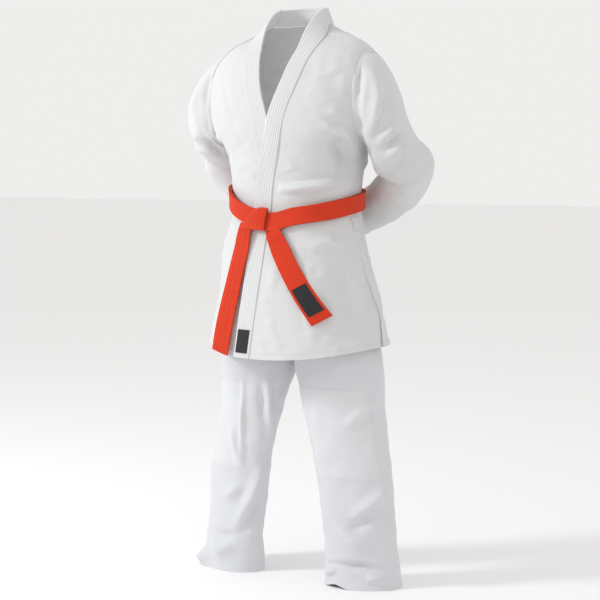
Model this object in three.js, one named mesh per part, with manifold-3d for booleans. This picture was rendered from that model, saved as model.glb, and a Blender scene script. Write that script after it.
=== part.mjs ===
// Judo uniform: a woven cotton jacket wrapped left over right, a long belt tied
// round the waist, and trousers, all standing in the shape of a wearer whose
// hands are held behind the back.
// Millimetres. +Z is up, the front faces -Y, and the wearer's left is +X.
import * as THREE from 'three';
import Module from 'manifold-3d';

const wasm = await Module();
wasm.setup();

// ---- driving sizes ---------------------------------------------------------
const JACKET_CLOTH = 3;        // thickness of the woven jacket cloth
const TROUSER_CLOTH = 2;       // thickness of the trouser cloth
const SEAM_GAP = 0.4;          // space left between two pieces sewn edge to edge
const BAND_WIDTH = 46;         // width of the collar and lapel band
const BAND_THICKNESS = 6;      // the band is folded and quilted, so it is thick
// How far the left front lies outside the right front, whose band it covers.
const WRAP_LIFT = 1 + Math.max(BAND_THICKNESS, BAND_THICKNESS / 2 + JACKET_CLOTH);
const PATCH_CLOTH = 1.8;       // thickness of a sewn-on reinforcement
const PATCH_CLEARANCE = 1.2;   // space between a patch and the cloth under it
const BELT_WIDTH = 45;
const BELT_THICKNESS = 4;
const BELT_CLEARANCE = 2.4;    // space between the belt and what it lies on
const LABEL_THICKNESS = 1;
const WAIST_SEAM = 862;        // height of the seam between jacket body and skirt
const NECK_LINE = 1365;        // station of the seam between jacket and collar
const HEM_LINE = 560;          // station of the skirt's bottom edge
const ARMHOLE_X = 198;         // half the distance between the two armhole seams
const SLEEVE_START = ARMHOLE_X + 0.6;
const CROTCH_HEIGHT = 520;
const SIDE_ANGLE = Math.PI / 2;
const BACK_ANGLE = Math.PI;

// ---- the jacket's shape ----------------------------------------------------
// One row per station up the body. Angle 0 is the middle of the front, a quarter
// turn is the wearer's left side, and half a turn is the middle of the back.
const JACKET_STATIONS = [
  { at: 560, half: 250, front: 175, back: 168, shift: 0, power: 2.1, zFront: 560, zSide: 590, zBack: 612 },
  { at: 640, half: 232, front: 166, back: 158, shift: 0, power: 2.1, zFront: 640, zSide: 655, zBack: 668 },
  { at: 750, half: 205, front: 151, back: 146, shift: 0, power: 2.15, zFront: 750, zSide: 755, zBack: 760 },
  { at: 862, half: 177, front: 133, back: 130, shift: 0, power: 2.2, zFront: 862, zSide: 862, zBack: 862 },
  { at: 915, half: 164, front: 123, back: 120, shift: 0, power: 2.2, zFront: 915, zSide: 915, zBack: 915 },
  { at: 970, half: 166, front: 125, back: 122, shift: 0, power: 2.2, zFront: 970, zSide: 970, zBack: 970 },
  { at: 1030, half: 174, front: 131, back: 128, shift: 0, power: 2.3, zFront: 1030, zSide: 1030, zBack: 1030 },
  { at: 1065, half: 183, front: 134, back: 131, shift: 0, power: 2.4, zFront: 1065, zSide: 1065, zBack: 1065 },
  { at: 1095, half: 205, front: 136, back: 133, shift: 0, power: 2.5, zFront: 1095, zSide: 1095, zBack: 1095 },
  { at: 1130, half: 222, front: 136, back: 134, shift: 0, power: 2.5, zFront: 1130, zSide: 1130, zBack: 1130 },
  { at: 1180, half: 230, front: 132, back: 133, shift: 0, power: 2.5, zFront: 1180, zSide: 1180, zBack: 1180 },
  { at: 1230, half: 230, front: 121, back: 126, shift: 0, power: 2.5, zFront: 1228, zSide: 1228, zBack: 1230 },
  { at: 1268, half: 218, front: 107, back: 112, shift: 2, power: 2.4, zFront: 1268, zSide: 1270, zBack: 1272 },
  { at: 1300, half: 185, front: 90, back: 94, shift: 6, power: 2.3, zFront: 1298, zSide: 1309, zBack: 1308 },
  { at: 1335, half: 130, front: 74, back: 77, shift: 15, power: 2.1, zFront: 1322, zSide: 1337, zBack: 1343 },
  { at: 1365, half: 80, front: 60, back: 62, shift: 25, power: 2, zFront: 1338, zSide: 1362, zBack: 1368 },
];

// The left lapel's two edges, as sideways positions on the jacket's front. The
// right lapel is its mirror image. Both cross the middle at the foot of the V.
const LAPEL_EDGES = [
  { at: 560, seam: -25, free: -25 - BAND_WIDTH },
  { at: 700, seam: -12, free: -12 - BAND_WIDTH },
  { at: 880, seam: 4, free: 4 - BAND_WIDTH },
  { at: 970, seam: 12, free: 12 - BAND_WIDTH },
  { at: 1060, seam: 32, free: 32 - BAND_WIDTH },
  { at: 1134, seam: 47, free: 47 - BAND_WIDTH },
  { at: 1200, seam: 69, free: 69 - BAND_WIDTH },
  { at: 1270, seam: 88, free: 88 - BAND_WIDTH },
  { at: 1300, seam: 97, free: 97 - BAND_WIDTH },
  { at: 1330, seam: 101, free: 55 },
  { at: 1350, seam: 93, free: 60 },
  { at: 1365, seam: 80, free: 62 },
];

// Above the chest the lapel's free edge leaves the body and stands up round the
// neck. These are its places in space, by the station of the seam beside it.
const STANDING_EDGE = [
  { at: 1290, x: 47, y: -84, z: 1296 },
  { at: 1310, x: 52, y: -72, z: 1322 },
  { at: 1330, x: 57, y: -48, z: 1354 },
  { at: 1350, x: 61, y: -8, z: 1388 },
  { at: 1365, x: 62, y: 28, z: 1403 },
];
const COLLAR_TOP = { half: 62, back: 50, y: 28, z: 1403, rise: 7 };
const STAND_START = 1270;      // station where the lapel begins to stand up
const STAND_FULL = 1335;       // station where it is fully up

// ---- the sleeves' shape ----------------------------------------------------
// Rings down the left arm: the outside line runs over the shoulder, the elbow
// and the underside of the forearm; the inside line runs down the armpit side.
const SLEEVE_RINGS = [
  { outside: [SLEEVE_START, 0, 1291], inside: [SLEEVE_START, 0, 1086], depth: 84 },
  { outside: [234, 0, 1266], inside: [206, 2, 1062], depth: 86 },
  { outside: [266, 4, 1222], inside: [208, 10, 1034], depth: 80 },
  { outside: [290, 14, 1160], inside: [206, 28, 1006], depth: 72 },
  { outside: [308, 40, 1082], inside: [204, 62, 1010], depth: 66 },
  { outside: [322, 80, 1000], inside: [204, 92, 1040], depth: 62 },
  { outside: [262, 132, 932], inside: [196, 112, 1036], depth: 58 },
  { outside: [190, 172, 892], inside: [158, 148, 1004], depth: 56 },
  { outside: [116, 194, 860], inside: [100, 182, 968], depth: 54 },
  { outside: [56, 206, 842], inside: [50, 196, 948], depth: 52 },
];
// How far each upper arm is carried from that shape, most at its middle. The
// right arm is held further back and higher than the left one.
const ARM_SHIFT = { left: [0, -4, 0], right: [0, 30, 20] };

// ---- the trousers' shape ---------------------------------------------------
const LEG_STATIONS = [
  { at: 0, x: 190, y: 0, half: 97, depth: 66, turn: 18 },
  { at: 35, x: 187, y: 0, half: 93, depth: 61, turn: 18 },
  { at: 100, x: 182, y: -2, half: 90, depth: 55, turn: 18 },
  { at: 250, x: 166, y: 0, half: 92, depth: 57, turn: 16 },
  { at: 370, x: 148, y: -4, half: 97, depth: 63, turn: 13 },
  { at: 450, x: 134, y: -4, half: 105, depth: 69, turn: 9 },
  { at: 520, x: 122, y: 0, half: 114, depth: 84, turn: 4 },
  { at: 620, x: 110, y: 0, half: 109, depth: 100, turn: 0 },
  { at: 1010, x: 80, y: 0, half: 80, depth: 100, turn: 0 },
];
const HIP_STATIONS = [
  { at: 500, half: 222, front: 122, back: 126 },
  { at: 620, half: 217, front: 124, back: 130 },
  { at: 700, half: 202, front: 124, back: 128 },
  { at: 800, half: 178, front: 121, back: 122 },
  { at: 862, half: 163, front: 116, back: 114 },
  { at: 915, half: 149, front: 107, back: 104 },
  { at: 1010, half: 147, front: 105, back: 102 },
];
const RISE_TOP = 800;          // above this height the two legs are one ring
const WAISTBAND = { bottom: 965, top: 1003, thickness: 4 };
const LEG_HEM_TOP = 32;
const KNEE_PATCH = { bottom: 268, top: 488, from: 0.22, to: 0.86 };

// ---- small tools -----------------------------------------------------------
const { lerp, smoothstep, degToRad } = THREE.MathUtils;

// A smooth curve through one column of a table of stations.
function profile(stations, column, at) {
  const last = stations.length - 1;
  let index = 0;
  while (index < last - 1 && at > stations[index + 1].at) index += 1;
  const from = stations[index];
  const to = stations[index + 1];
  const before = stations[Math.max(index - 1, 0)];
  const after = stations[Math.min(index + 2, last)];
  const span = to.at - from.at;
  const share = THREE.MathUtils.clamp((at - from.at) / span, 0, 1);
  const slopeFrom = ((to[column] - before[column]) / (to.at - before.at)) * span;
  const slopeTo = ((after[column] - from[column]) / (after.at - from.at)) * span;
  const square = share * share;
  const cube = square * share;
  return from[column] * (2 * cube - 3 * square + 1) + slopeFrom * (cube - 2 * square + share)
    + to[column] * (3 * square - 2 * cube) + slopeTo * (cube - square);
}

function signedPower(value, power) {
  return Math.sign(value) * Math.abs(value) ** power;
}

// ---- surfaces --------------------------------------------------------------
function jacketPoint(angle, station) {
  const power = 2 / profile(JACKET_STATIONS, 'power', station);
  const across = Math.sin(angle);
  const along = Math.cos(angle);
  const depth = profile(JACKET_STATIONS, along > 0 ? 'front' : 'back', station);
  const middleHeight = profile(JACKET_STATIONS, along > 0 ? 'zFront' : 'zBack', station);
  const sideHeight = profile(JACKET_STATIONS, 'zSide', station);
  return new THREE.Vector3(
    profile(JACKET_STATIONS, 'half', station) * signedPower(across, power),
    profile(JACKET_STATIONS, 'shift', station) - depth * signedPower(along, power),
    lerp(middleHeight, sideHeight, across * across),
  );
}

// The angle at which the jacket's front has a given sideways position.
function frontAngle(x, station) {
  const share = x / profile(JACKET_STATIONS, 'half', station);
  const power = profile(JACKET_STATIONS, 'power', station) / 2;
  return Math.asin(THREE.MathUtils.clamp(signedPower(share, power), -1, 1));
}

function seamAngle(station) {
  return frontAngle(profile(LAPEL_EDGES, 'seam', station), station);
}

// How far the left front is carried outward to pass over the right front.
function wrapLift(angle, station) {
  const round = 1 - smoothstep(Math.abs(angle), degToRad(24), degToRad(60));
  const up = 1 - smoothstep(station, 1150, 1270);
  return WRAP_LIFT * round * up;
}

// The lapel band: across runs from its free edge to its sewn edge.
function lapelPoint(across, station) {
  const freeAngle = frontAngle(profile(LAPEL_EDGES, 'free', station), station);
  const lying = jacketPoint(lerp(freeAngle, seamAngle(station), across), station);
  if (station <= STAND_START) return lying;
  const edge = new THREE.Vector3(
    profile(STANDING_EDGE, 'x', station),
    profile(STANDING_EDGE, 'y', station),
    profile(STANDING_EDGE, 'z', station),
  );
  const standing = edge.lerp(jacketPoint(seamAngle(station), station), across);
  return lying.lerp(standing, smoothstep(station, STAND_START, STAND_FULL));
}

function collarPoint(angle, up) {
  const seam = jacketPoint(angle, NECK_LINE);
  const top = new THREE.Vector3(
    COLLAR_TOP.half * Math.sin(angle),
    COLLAR_TOP.y - COLLAR_TOP.back * Math.cos(angle),
    COLLAR_TOP.z + COLLAR_TOP.rise * Math.cos(angle) ** 2,
  );
  return seam.lerp(top, up);
}

function hipPoint(angle, height) {
  const depth = profile(HIP_STATIONS, Math.cos(angle) > 0 ? 'front' : 'back', height);
  return new THREE.Vector3(
    profile(HIP_STATIONS, 'half', height) * Math.sin(angle),
    -depth * Math.cos(angle),
    height,
  );
}

// One half of the left trouser leg: across 0 is the outside seam, and across 1
// is the rise above the crotch and the inside seam below it.
function legPoint(across, height, facing) {
  const blend = 1 - smoothstep(height, CROTCH_HEIGHT, RISE_TOP);
  const hipAngle = facing === 'front'
    ? SIDE_ANGLE * (1 - across)
    : SIDE_ANGLE * (1 + across);
  const hip = hipPoint(hipAngle, height);
  hip.x = Math.max(hip.x, SEAM_GAP / 2);
  const turn = degToRad(profile(LEG_STATIONS, 'turn', height));
  const round = SIDE_ANGLE - Math.PI * across;
  const side = profile(LEG_STATIONS, 'half', height) * Math.sin(round);
  const facingSign = facing === 'front' ? -1 : 1;
  const deep = facingSign * profile(LEG_STATIONS, 'depth', height) * Math.cos(round);
  const leg = new THREE.Vector3(
    profile(LEG_STATIONS, 'x', height) + side * Math.cos(turn) - deep * Math.sin(turn),
    profile(LEG_STATIONS, 'y', height) + side * Math.sin(turn) + deep * Math.cos(turn),
    height,
  );
  leg.x = Math.max(leg.x, SEAM_GAP / 2);
  return hip.lerp(leg, blend);
}

// ---- the left sleeve's surface ---------------------------------------------
const ringCurve = (key, shift) => new THREE.CatmullRomCurve3(
  SLEEVE_RINGS.map((ring, index) => {
    const share = index === 0 ? 0 : Math.exp(-(((index - 3.6) / 1.3) ** 2));
    return new THREE.Vector3(...ring[key]).addScaledVector(new THREE.Vector3(...shift), share);
  }),
  false,
  'catmullrom',
  0.5,
);

// The station where the jacket's side crosses the armhole plane.
function armholeStation(low, high) {
  const wider = (station) => profile(JACKET_STATIONS, 'half', station) > ARMHOLE_X;
  const start = wider(low);
  for (let step = 0; step < 40; step += 1) {
    const middle = (low + high) / 2;
    if (wider(middle) === start) low = middle;
    else high = middle;
  }
  return (low + high) / 2;
}
const ARMPIT_STATION = armholeStation(1030, 1130);
const SHOULDER_STATION = armholeStation(1230, 1330);

// The armhole's outline: top, down the front, armpit, and up the back.
function armholePoint(round) {
  const height = (1 + Math.cos(2 * Math.PI * round)) / 2;
  const station = lerp(ARMPIT_STATION + 0.01, SHOULDER_STATION - 0.01, height);
  const angle = frontAngle(ARMHOLE_X, station);
  const point = jacketPoint(round <= 0.5 ? angle : BACK_ANGLE - angle, station);
  point.x = SLEEVE_START;
  return point;
}

function makeSleeveSurface(shift) {
  const outside = ringCurve('outside', shift);
  const inside = ringCurve('inside', shift);
  const stations = SLEEVE_RINGS.map((ring, at) => ({ at, depth: ring.depth }));
  const centre = (along) => outside.getPoint(along).lerp(inside.getPoint(along), 0.5);
  const plain = (round, along) => {
    const reach = outside.getPoint(along).sub(inside.getPoint(along)).multiplyScalar(0.5);
    const ahead = centre(Math.min(along + 0.01, 1)).sub(centre(Math.max(along - 0.01, 0)));
    if (along < 0.02) ahead.lerp(new THREE.Vector3(ahead.length(), 0, 0), 1 - along / 0.02);
    const deep = new THREE.Vector3().crossVectors(reach, ahead).normalize();
    const depth = profile(stations, 'depth', along * (SLEEVE_RINGS.length - 1));
    const turn = 2 * Math.PI * round;
    return centre(along)
      .addScaledVector(reach, Math.cos(turn))
      .addScaledVector(deep, -depth * Math.sin(turn));
  };
  return (round, along) => {
    const point = plain(round, along);
    const hold = 1 - smoothstep(along, 0, 0.16);
    const turn = ((round % 1) + 1) % 1;
    return point.add(armholePoint(turn).sub(plain(turn, 0)).multiplyScalar(hold));
  };
}

// ---- solids ----------------------------------------------------------------
function outwardNormal(surface, u, v) {
  const step = 0.002;
  const alongU = surface(u + step, v).sub(surface(u - step, v));
  const alongV = surface(u, Math.min(v + step, 1)).sub(surface(u, Math.max(v - step, 0)));
  return alongU.cross(alongV).normalize();
}

function signedVolume(positions, triangles) {
  let total = 0;
  for (let index = 0; index < triangles.length; index += 3) {
    const [a, b, c] = triangles.slice(index, index + 3).map((corner) => positions[corner]);
    total += a.dot(new THREE.Vector3().crossVectors(b, c));
  }
  return total / 6;
}

// A closed solid between an inner and an outer offset of one surface. The
// surface takes u and v from 0 to 1, and a ring closes on itself in u.
function shell({ surface, columns, rows, inner, outer, ring = false, adjust = null }) {
  const offsetAt = (offset, u, v) => (typeof offset === 'function' ? offset(u, v) : offset);
  const positions = [];
  const columnCount = ring ? columns : columns + 1;
  for (const offset of [outer, inner]) {
    for (let row = 0; row <= rows; row += 1) {
      for (let column = 0; column < columnCount; column += 1) {
        const u = column / columns;
        const v = row / rows;
        const point = surface(u, v)
          .addScaledVector(outwardNormal(surface, u, v), offsetAt(offset, u, v));
        if (adjust) adjust(point, u, v);
        positions.push(point);
      }
    }
  }
  const layer = columnCount * (rows + 1);
  const at = (side, row, column) => side * layer + row * columnCount + (column % columnCount);
  const triangles = [];
  const quad = (a, b, c, d) => triangles.push(a, b, c, a, c, d);
  for (let column = 0; column < columns; column += 1) {
    for (let row = 0; row < rows; row += 1) {
      quad(at(0, row, column), at(0, row, column + 1), at(0, row + 1, column + 1), at(0, row + 1, column));
      quad(at(1, row, column), at(1, row + 1, column), at(1, row + 1, column + 1), at(1, row, column + 1));
    }
    quad(at(0, 0, column), at(1, 0, column), at(1, 0, column + 1), at(0, 0, column + 1));
    quad(at(0, rows, column), at(0, rows, column + 1), at(1, rows, column + 1), at(1, rows, column));
  }
  if (!ring) {
    for (let row = 0; row < rows; row += 1) {
      quad(at(0, row, 0), at(0, row + 1, 0), at(1, row + 1, 0), at(1, row, 0));
      quad(at(0, row, columns), at(1, row, columns), at(1, row + 1, columns), at(0, row + 1, columns));
    }
  }
  return toGeometry(positions, triangles);
}

function toGeometry(positions, triangles) {
  const inward = signedVolume(positions, triangles) < 0;
  const ordered = inward ? [...triangles].reverse() : triangles;
  const geometry = new THREE.BufferGeometry();
  geometry.setAttribute('position', new THREE.Float32BufferAttribute(
    positions.flatMap((point) => point.toArray()), 3));
  geometry.setIndex(ordered);
  return geometry;
}

function mirrored(geometry) {
  const copy = geometry.clone();
  copy.scale(-1, 1, 1);
  copy.setIndex([...geometry.index.array].reverse());
  return copy;
}

function toManifold(geometry) {
  return new wasm.Manifold(new wasm.Mesh({
    numProp: 3,
    vertProperties: new Float32Array(geometry.attributes.position.array),
    triVerts: new Uint32Array(geometry.index.array),
  }));
}

function fromManifold(solid) {
  const mesh = solid.getMesh();
  const geometry = new THREE.BufferGeometry();
  const positions = new Float32Array((mesh.vertProperties.length / mesh.numProp) * 3);
  for (let index = 0; index < positions.length / 3; index += 1) {
    for (let axis = 0; axis < 3; axis += 1) {
      positions[index * 3 + axis] = mesh.vertProperties[index * mesh.numProp + axis];
    }
  }
  geometry.setAttribute('position', new THREE.BufferAttribute(positions, 3));
  geometry.setIndex([...mesh.triVerts]);
  return geometry;
}

// Takes away everything outside the two armhole planes.
function cutArmholes(geometry) {
  let solid = toManifold(geometry);
  for (const side of [-1, 1]) {
    const width = 300;
    const beyond = wasm.Manifold.cube([width, 700, 500], true)
      .translate([side * (ARMHOLE_X + width / 2), 0, 1250]);
    solid = solid.subtract(beyond);
  }
  return fromManifold(solid);
}

function drillAlongY(geometry, centres, diameter, reach) {
  let solid = toManifold(geometry);
  for (const [x, y, z] of centres) {
    const drill = wasm.Manifold.cylinder(reach, diameter / 2, diameter / 2, 20, true)
      .rotate([90, 0, 0])
      .translate([x, y, z]);
    solid = solid.subtract(drill);
  }
  return fromManifold(solid);
}

// ---- pieces ----------------------------------------------------------------
const group = new THREE.Group();
const COLOURS = {
  jacket: { color: 0xf1f1ee, roughness: 0.92 },
  band: { color: 0xf4f4f1, roughness: 0.88 },
  trousers: { color: 0xecedf0, roughness: 0.9 },
  belt: { color: 0xd8431f, roughness: 0.82 },
  label: { color: 0x26262a, roughness: 0.6 },
};

function addPiece(name, geometry, look) {
  const finished = geometry.clone();
  finished.computeVertexNormals();
  const mesh = new THREE.Mesh(finished, new THREE.MeshStandardMaterial({ ...COLOURS[look], metalness: 0 }));
  mesh.name = name;
  group.add(mesh);
}

// A piece of the jacket's surface between two angles and two stations.
function jacketShell({ fromAngle, toAngle, bottom, top, columns, rows, inner, outer, ring = false }) {
  const angleAt = (limit, station) => (typeof limit === 'function' ? limit(station) : limit);
  const place = (u, v) => {
    const station = lerp(bottom, top, v);
    return [lerp(angleAt(fromAngle, station), angleAt(toAngle, station), u), station];
  };
  const offset = (limit) => (u, v) => (typeof limit === 'function' ? limit(...place(u, v)) : limit);
  return shell({
    surface: (u, v) => jacketPoint(...place(u, v)),
    columns,
    rows,
    inner: offset(inner),
    outer: offset(outer),
    ring,
  });
}

// Where the band stands up round the neck, its thickness lies along the cloth,
// so the cloth stops further from the sewn edge.
function edgeGap(station) {
  const standing = smoothstep(station, STAND_START, STAND_FULL);
  const gap = SEAM_GAP + 1.1 * BAND_THICKNESS * standing;
  return gap / profile(JACKET_STATIONS, 'front', station);
}
const BODY_TOP = NECK_LINE - 1.5;
const SIDE_SEAM = SIDE_ANGLE - 0.002;
const SKIRT_TOP = WAIST_SEAM - SEAM_GAP;
const BODY_BOTTOM = WAIST_SEAM + SEAM_GAP;

function addJacketBody() {
  addPiece('jacket_back_panel', cutArmholes(jacketShell({
    fromAngle: SIDE_ANGLE + 0.002,
    toAngle: 3 * SIDE_ANGLE - 0.002,
    bottom: BODY_BOTTOM,
    top: BODY_TOP,
    columns: 18,
    rows: 15,
    inner: -JACKET_CLOTH,
    outer: 0,
  })), 'jacket');
  addPiece('jacket_front_left_panel', cutArmholes(jacketShell({
    fromAngle: (station) => seamAngle(station) + edgeGap(station),
    toAngle: SIDE_SEAM,
    bottom: BODY_BOTTOM,
    top: BODY_TOP,
    columns: 10,
    rows: 15,
    inner: (angle, station) => wrapLift(angle, station) - JACKET_CLOTH,
    outer: wrapLift,
  })), 'jacket');
  addPiece('jacket_front_right_panel', cutArmholes(mirrored(jacketShell({
    fromAngle: (station) => seamAngle(station) + edgeGap(station),
    toAngle: SIDE_SEAM,
    bottom: BODY_BOTTOM,
    top: BODY_TOP,
    columns: 10,
    rows: 15,
    inner: -JACKET_CLOTH,
    outer: 0,
  }))), 'jacket');
}

function addShoulderPatches() {
  const patch = cutArmholes(jacketShell({
    fromAngle: degToRad(56),
    toAngle: degToRad(124),
    bottom: 1236,
    top: 1338,
    columns: 12,
    rows: 6,
    inner: PATCH_CLEARANCE,
    outer: PATCH_CLEARANCE + PATCH_CLOTH,
  }));
  addPiece('shoulder_reinforcement_left', patch, 'jacket');
  addPiece('shoulder_reinforcement_right', mirrored(patch), 'jacket');
}

function lapelShell(bottom, top, rows, lift) {
  return shell({
    surface: (u, v) => lapelPoint(u, lerp(bottom, top, v)),
    columns: 3,
    rows,
    inner: (u, v) => lift(lerp(bottom, top, v)) - BAND_THICKNESS / 2,
    outer: (u, v) => lift(lerp(bottom, top, v)) + BAND_THICKNESS / 2,
  });
}

function addBands() {
  const over = (station) => wrapLift(0, station);
  const flat = () => 0;
  addPiece('lapel_band_left_upper', lapelShell(BODY_BOTTOM, NECK_LINE, 20, over), 'band');
  addPiece('lapel_band_right_upper', mirrored(lapelShell(BODY_BOTTOM, NECK_LINE, 20, flat)), 'band');
  addPiece('lapel_band_left_skirt', lapelShell(HEM_LINE, SKIRT_TOP, 10, over), 'band');
  addPiece('lapel_band_right_skirt', mirrored(lapelShell(HEM_LINE, SKIRT_TOP, 10, flat)), 'band');
  addPiece('collar_band_neck', shell({
    surface: (u, v) => collarPoint(lerp(SIDE_ANGLE + 0.03, 3 * SIDE_ANGLE - 0.03, u), v),
    columns: 16,
    rows: 3,
    inner: -BAND_THICKNESS / 2,
    outer: BAND_THICKNESS / 2,
  }), 'band');
  const labelBottom = HEM_LINE + 12;
  const labelTop = labelBottom + 56;
  const onBand = WRAP_LIFT + BAND_THICKNESS / 2;
  addPiece('lapel_label', shell({
    surface: (u, v) => lapelPoint(lerp(0.14, 0.86, u), lerp(labelBottom, labelTop, v)),
    columns: 2,
    rows: 2,
    inner: onBand + PATCH_CLEARANCE,
    outer: onBand + PATCH_CLEARANCE + LABEL_THICKNESS,
  }), 'label');
}

function addSkirt() {
  const front = {
    fromAngle: (station) => seamAngle(station) + edgeGap(station),
    toAngle: SIDE_SEAM - 0.02,
    bottom: HEM_LINE,
    top: SKIRT_TOP,
    columns: 10,
    rows: 7,
  };
  addPiece('skirt_front_left', jacketShell({
    ...front,
    inner: (angle, station) => wrapLift(angle, station) - JACKET_CLOTH,
    outer: wrapLift,
  }), 'jacket');
  addPiece('skirt_front_right', mirrored(jacketShell({
    ...front,
    inner: -JACKET_CLOTH,
    outer: 0,
  })), 'jacket');
  addPiece('skirt_back', jacketShell({
    fromAngle: SIDE_ANGLE + 0.02,
    toAngle: 3 * SIDE_ANGLE - 0.02,
    bottom: HEM_LINE,
    top: SKIRT_TOP,
    columns: 18,
    rows: 7,
    inner: -JACKET_CLOTH,
    outer: 0,
  }), 'jacket');
  const ventPatch = jacketShell({
    fromAngle: degToRad(80),
    toAngle: degToRad(100),
    bottom: WAIST_SEAM + 3,
    top: WAIST_SEAM + 36,
    columns: 4,
    rows: 2,
    inner: PATCH_CLEARANCE,
    outer: PATCH_CLEARANCE + PATCH_CLOTH,
  });
  addPiece('vent_reinforcement_left', ventPatch, 'jacket');
  addPiece('vent_reinforcement_right', mirrored(ventPatch), 'jacket');
}

// The sleeve's patches share its rows and columns, so they lie flat on it.
const SLEEVE_COLUMNS = 20;
const SLEEVE_ROWS = 18;

function addSleeves() {
  for (const side of ['left', 'right']) {
    const surface = makeSleeveSurface(ARM_SHIFT[side]);
    const orient = (geometry) => (side === 'left' ? geometry : mirrored(geometry));
    const keepOutsideArmhole = (point) => {
      point.x = Math.max(point.x, SLEEVE_START);
    };
    addPiece(`sleeve_${side}`, orient(shell({
      surface,
      columns: SLEEVE_COLUMNS,
      rows: SLEEVE_ROWS,
      inner: -JACKET_CLOTH,
      outer: 0,
      ring: true,
      adjust: (point, u, v) => {
        if (v < 0.3) keepOutsideArmhole(point);
      },
    })), 'jacket');
    addPiece(`cuff_band_${side}`, orient(shell({
      surface: (u, v) => surface(u, lerp((SLEEVE_ROWS - 1) / SLEEVE_ROWS, 0.998, v)),
      columns: SLEEVE_COLUMNS,
      rows: 1,
      inner: PATCH_CLEARANCE,
      outer: PATCH_CLEARANCE + PATCH_CLOTH,
      ring: true,
    })), 'jacket');
    addPiece(`underarm_gusset_${side}`, orient(shell({
      surface: (u, v) => surface(
        lerp(8, 12, u) / SLEEVE_COLUMNS,
        lerp(1.5, 4, v) / SLEEVE_ROWS,
      ),
      columns: 4,
      rows: 5,
      inner: 2 * PATCH_CLEARANCE,
      outer: 2 * PATCH_CLEARANCE + PATCH_CLOTH,
    })), 'jacket');
  }
}

// ---- belt ------------------------------------------------------------------
function beltHeight(angle) {
  return lerp(893, 950, ((1 - Math.cos(angle)) / 2) ** 0.6);
}

// How far out the belt must lie to clear the crossed fronts and lapel band.
function beltLift(angle) {
  const turned = Math.abs(Math.atan2(Math.sin(angle), Math.cos(angle)));
  const front = 1 - smoothstep(turned, degToRad(30), degToRad(62));
  return BELT_CLEARANCE + (WRAP_LIFT + BAND_THICKNESS / 2) * front;
}

const SECOND_WRAP = BELT_THICKNESS + SEAM_GAP;
const BELT_FACE = BELT_CLEARANCE + WRAP_LIFT + BAND_THICKNESS / 2 + SECOND_WRAP + BELT_THICKNESS;

function beltShell(extra) {
  const angleAt = (u) => 2 * Math.PI * u;
  return shell({
    surface: (u, v) => jacketPoint(angleAt(u), beltHeight(angleAt(u)) + BELT_WIDTH * (v - 0.5)),
    columns: 44,
    rows: 2,
    inner: (u) => beltLift(angleAt(u)) + extra,
    outer: (u) => beltLift(angleAt(u)) + extra + BELT_THICKNESS,
    ring: true,
  });
}

// A strip of belt lying over the skirt, from its top middle to its bottom middle.
function hangingPoint(strip, across, down) {
  const direction = new THREE.Vector2(strip.toX - strip.fromX, strip.toZ - strip.fromZ).normalize();
  const width = BELT_WIDTH * (across - 0.5);
  const x = lerp(strip.fromX, strip.toX, down) - width * direction.y;
  const z = lerp(strip.fromZ, strip.toZ, down) + width * direction.x;
  return jacketPoint(frontAngle(x, z), z);
}

// The hanging ends clear the lapel label as well as the lapel band.
const END_OFFSET = WRAP_LIFT + BAND_THICKNESS / 2 + PATCH_CLEARANCE + LABEL_THICKNESS + 0.8;
const BELT_ENDS = {
  right: { fromX: -31, toX: -104, fromZ: 857, toZ: HEM_LINE + 12 },
  left: { fromX: 22, toX: 146, fromZ: 850, toZ: 648 },
};

function addBelt() {
  addPiece('belt_wrap_inner', beltShell(0), 'belt');
  addPiece('belt_wrap_outer', beltShell(SECOND_WRAP), 'belt');
  const knot = { left: -36, right: 14, bottom: 863, top: 924 };
  addPiece('belt_knot', shell({
    surface: (u, v) => {
      const z = lerp(knot.bottom, knot.top, v);
      return jacketPoint(frontAngle(lerp(knot.left, knot.right, u), z), z);
    },
    columns: 8,
    rows: 8,
    inner: BELT_FACE + PATCH_CLEARANCE,
    outer: (u, v) => BELT_FACE + 6 + 11 * Math.sin(Math.PI * u) ** 0.7 * Math.sin(Math.PI * v) ** 0.7,
  }), 'belt');
  for (const [side, strip] of Object.entries(BELT_ENDS)) {
    addPiece(`belt_end_${side}`, shell({
      surface: (u, v) => hangingPoint(strip, u, 1 - v),
      columns: 3,
      rows: 10,
      inner: END_OFFSET,
      outer: END_OFFSET + BELT_THICKNESS,
    }), 'belt');
  }
  addPiece('belt_end_label', shell({
    surface: (u, v) => hangingPoint(BELT_ENDS.left, lerp(0.13, 0.87, u), lerp(0.92, 0.6, v)),
    columns: 2,
    rows: 3,
    inner: END_OFFSET + BELT_THICKNESS + PATCH_CLEARANCE,
    outer: END_OFFSET + BELT_THICKNESS + PATCH_CLEARANCE + LABEL_THICKNESS,
  }), 'label');
}

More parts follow.
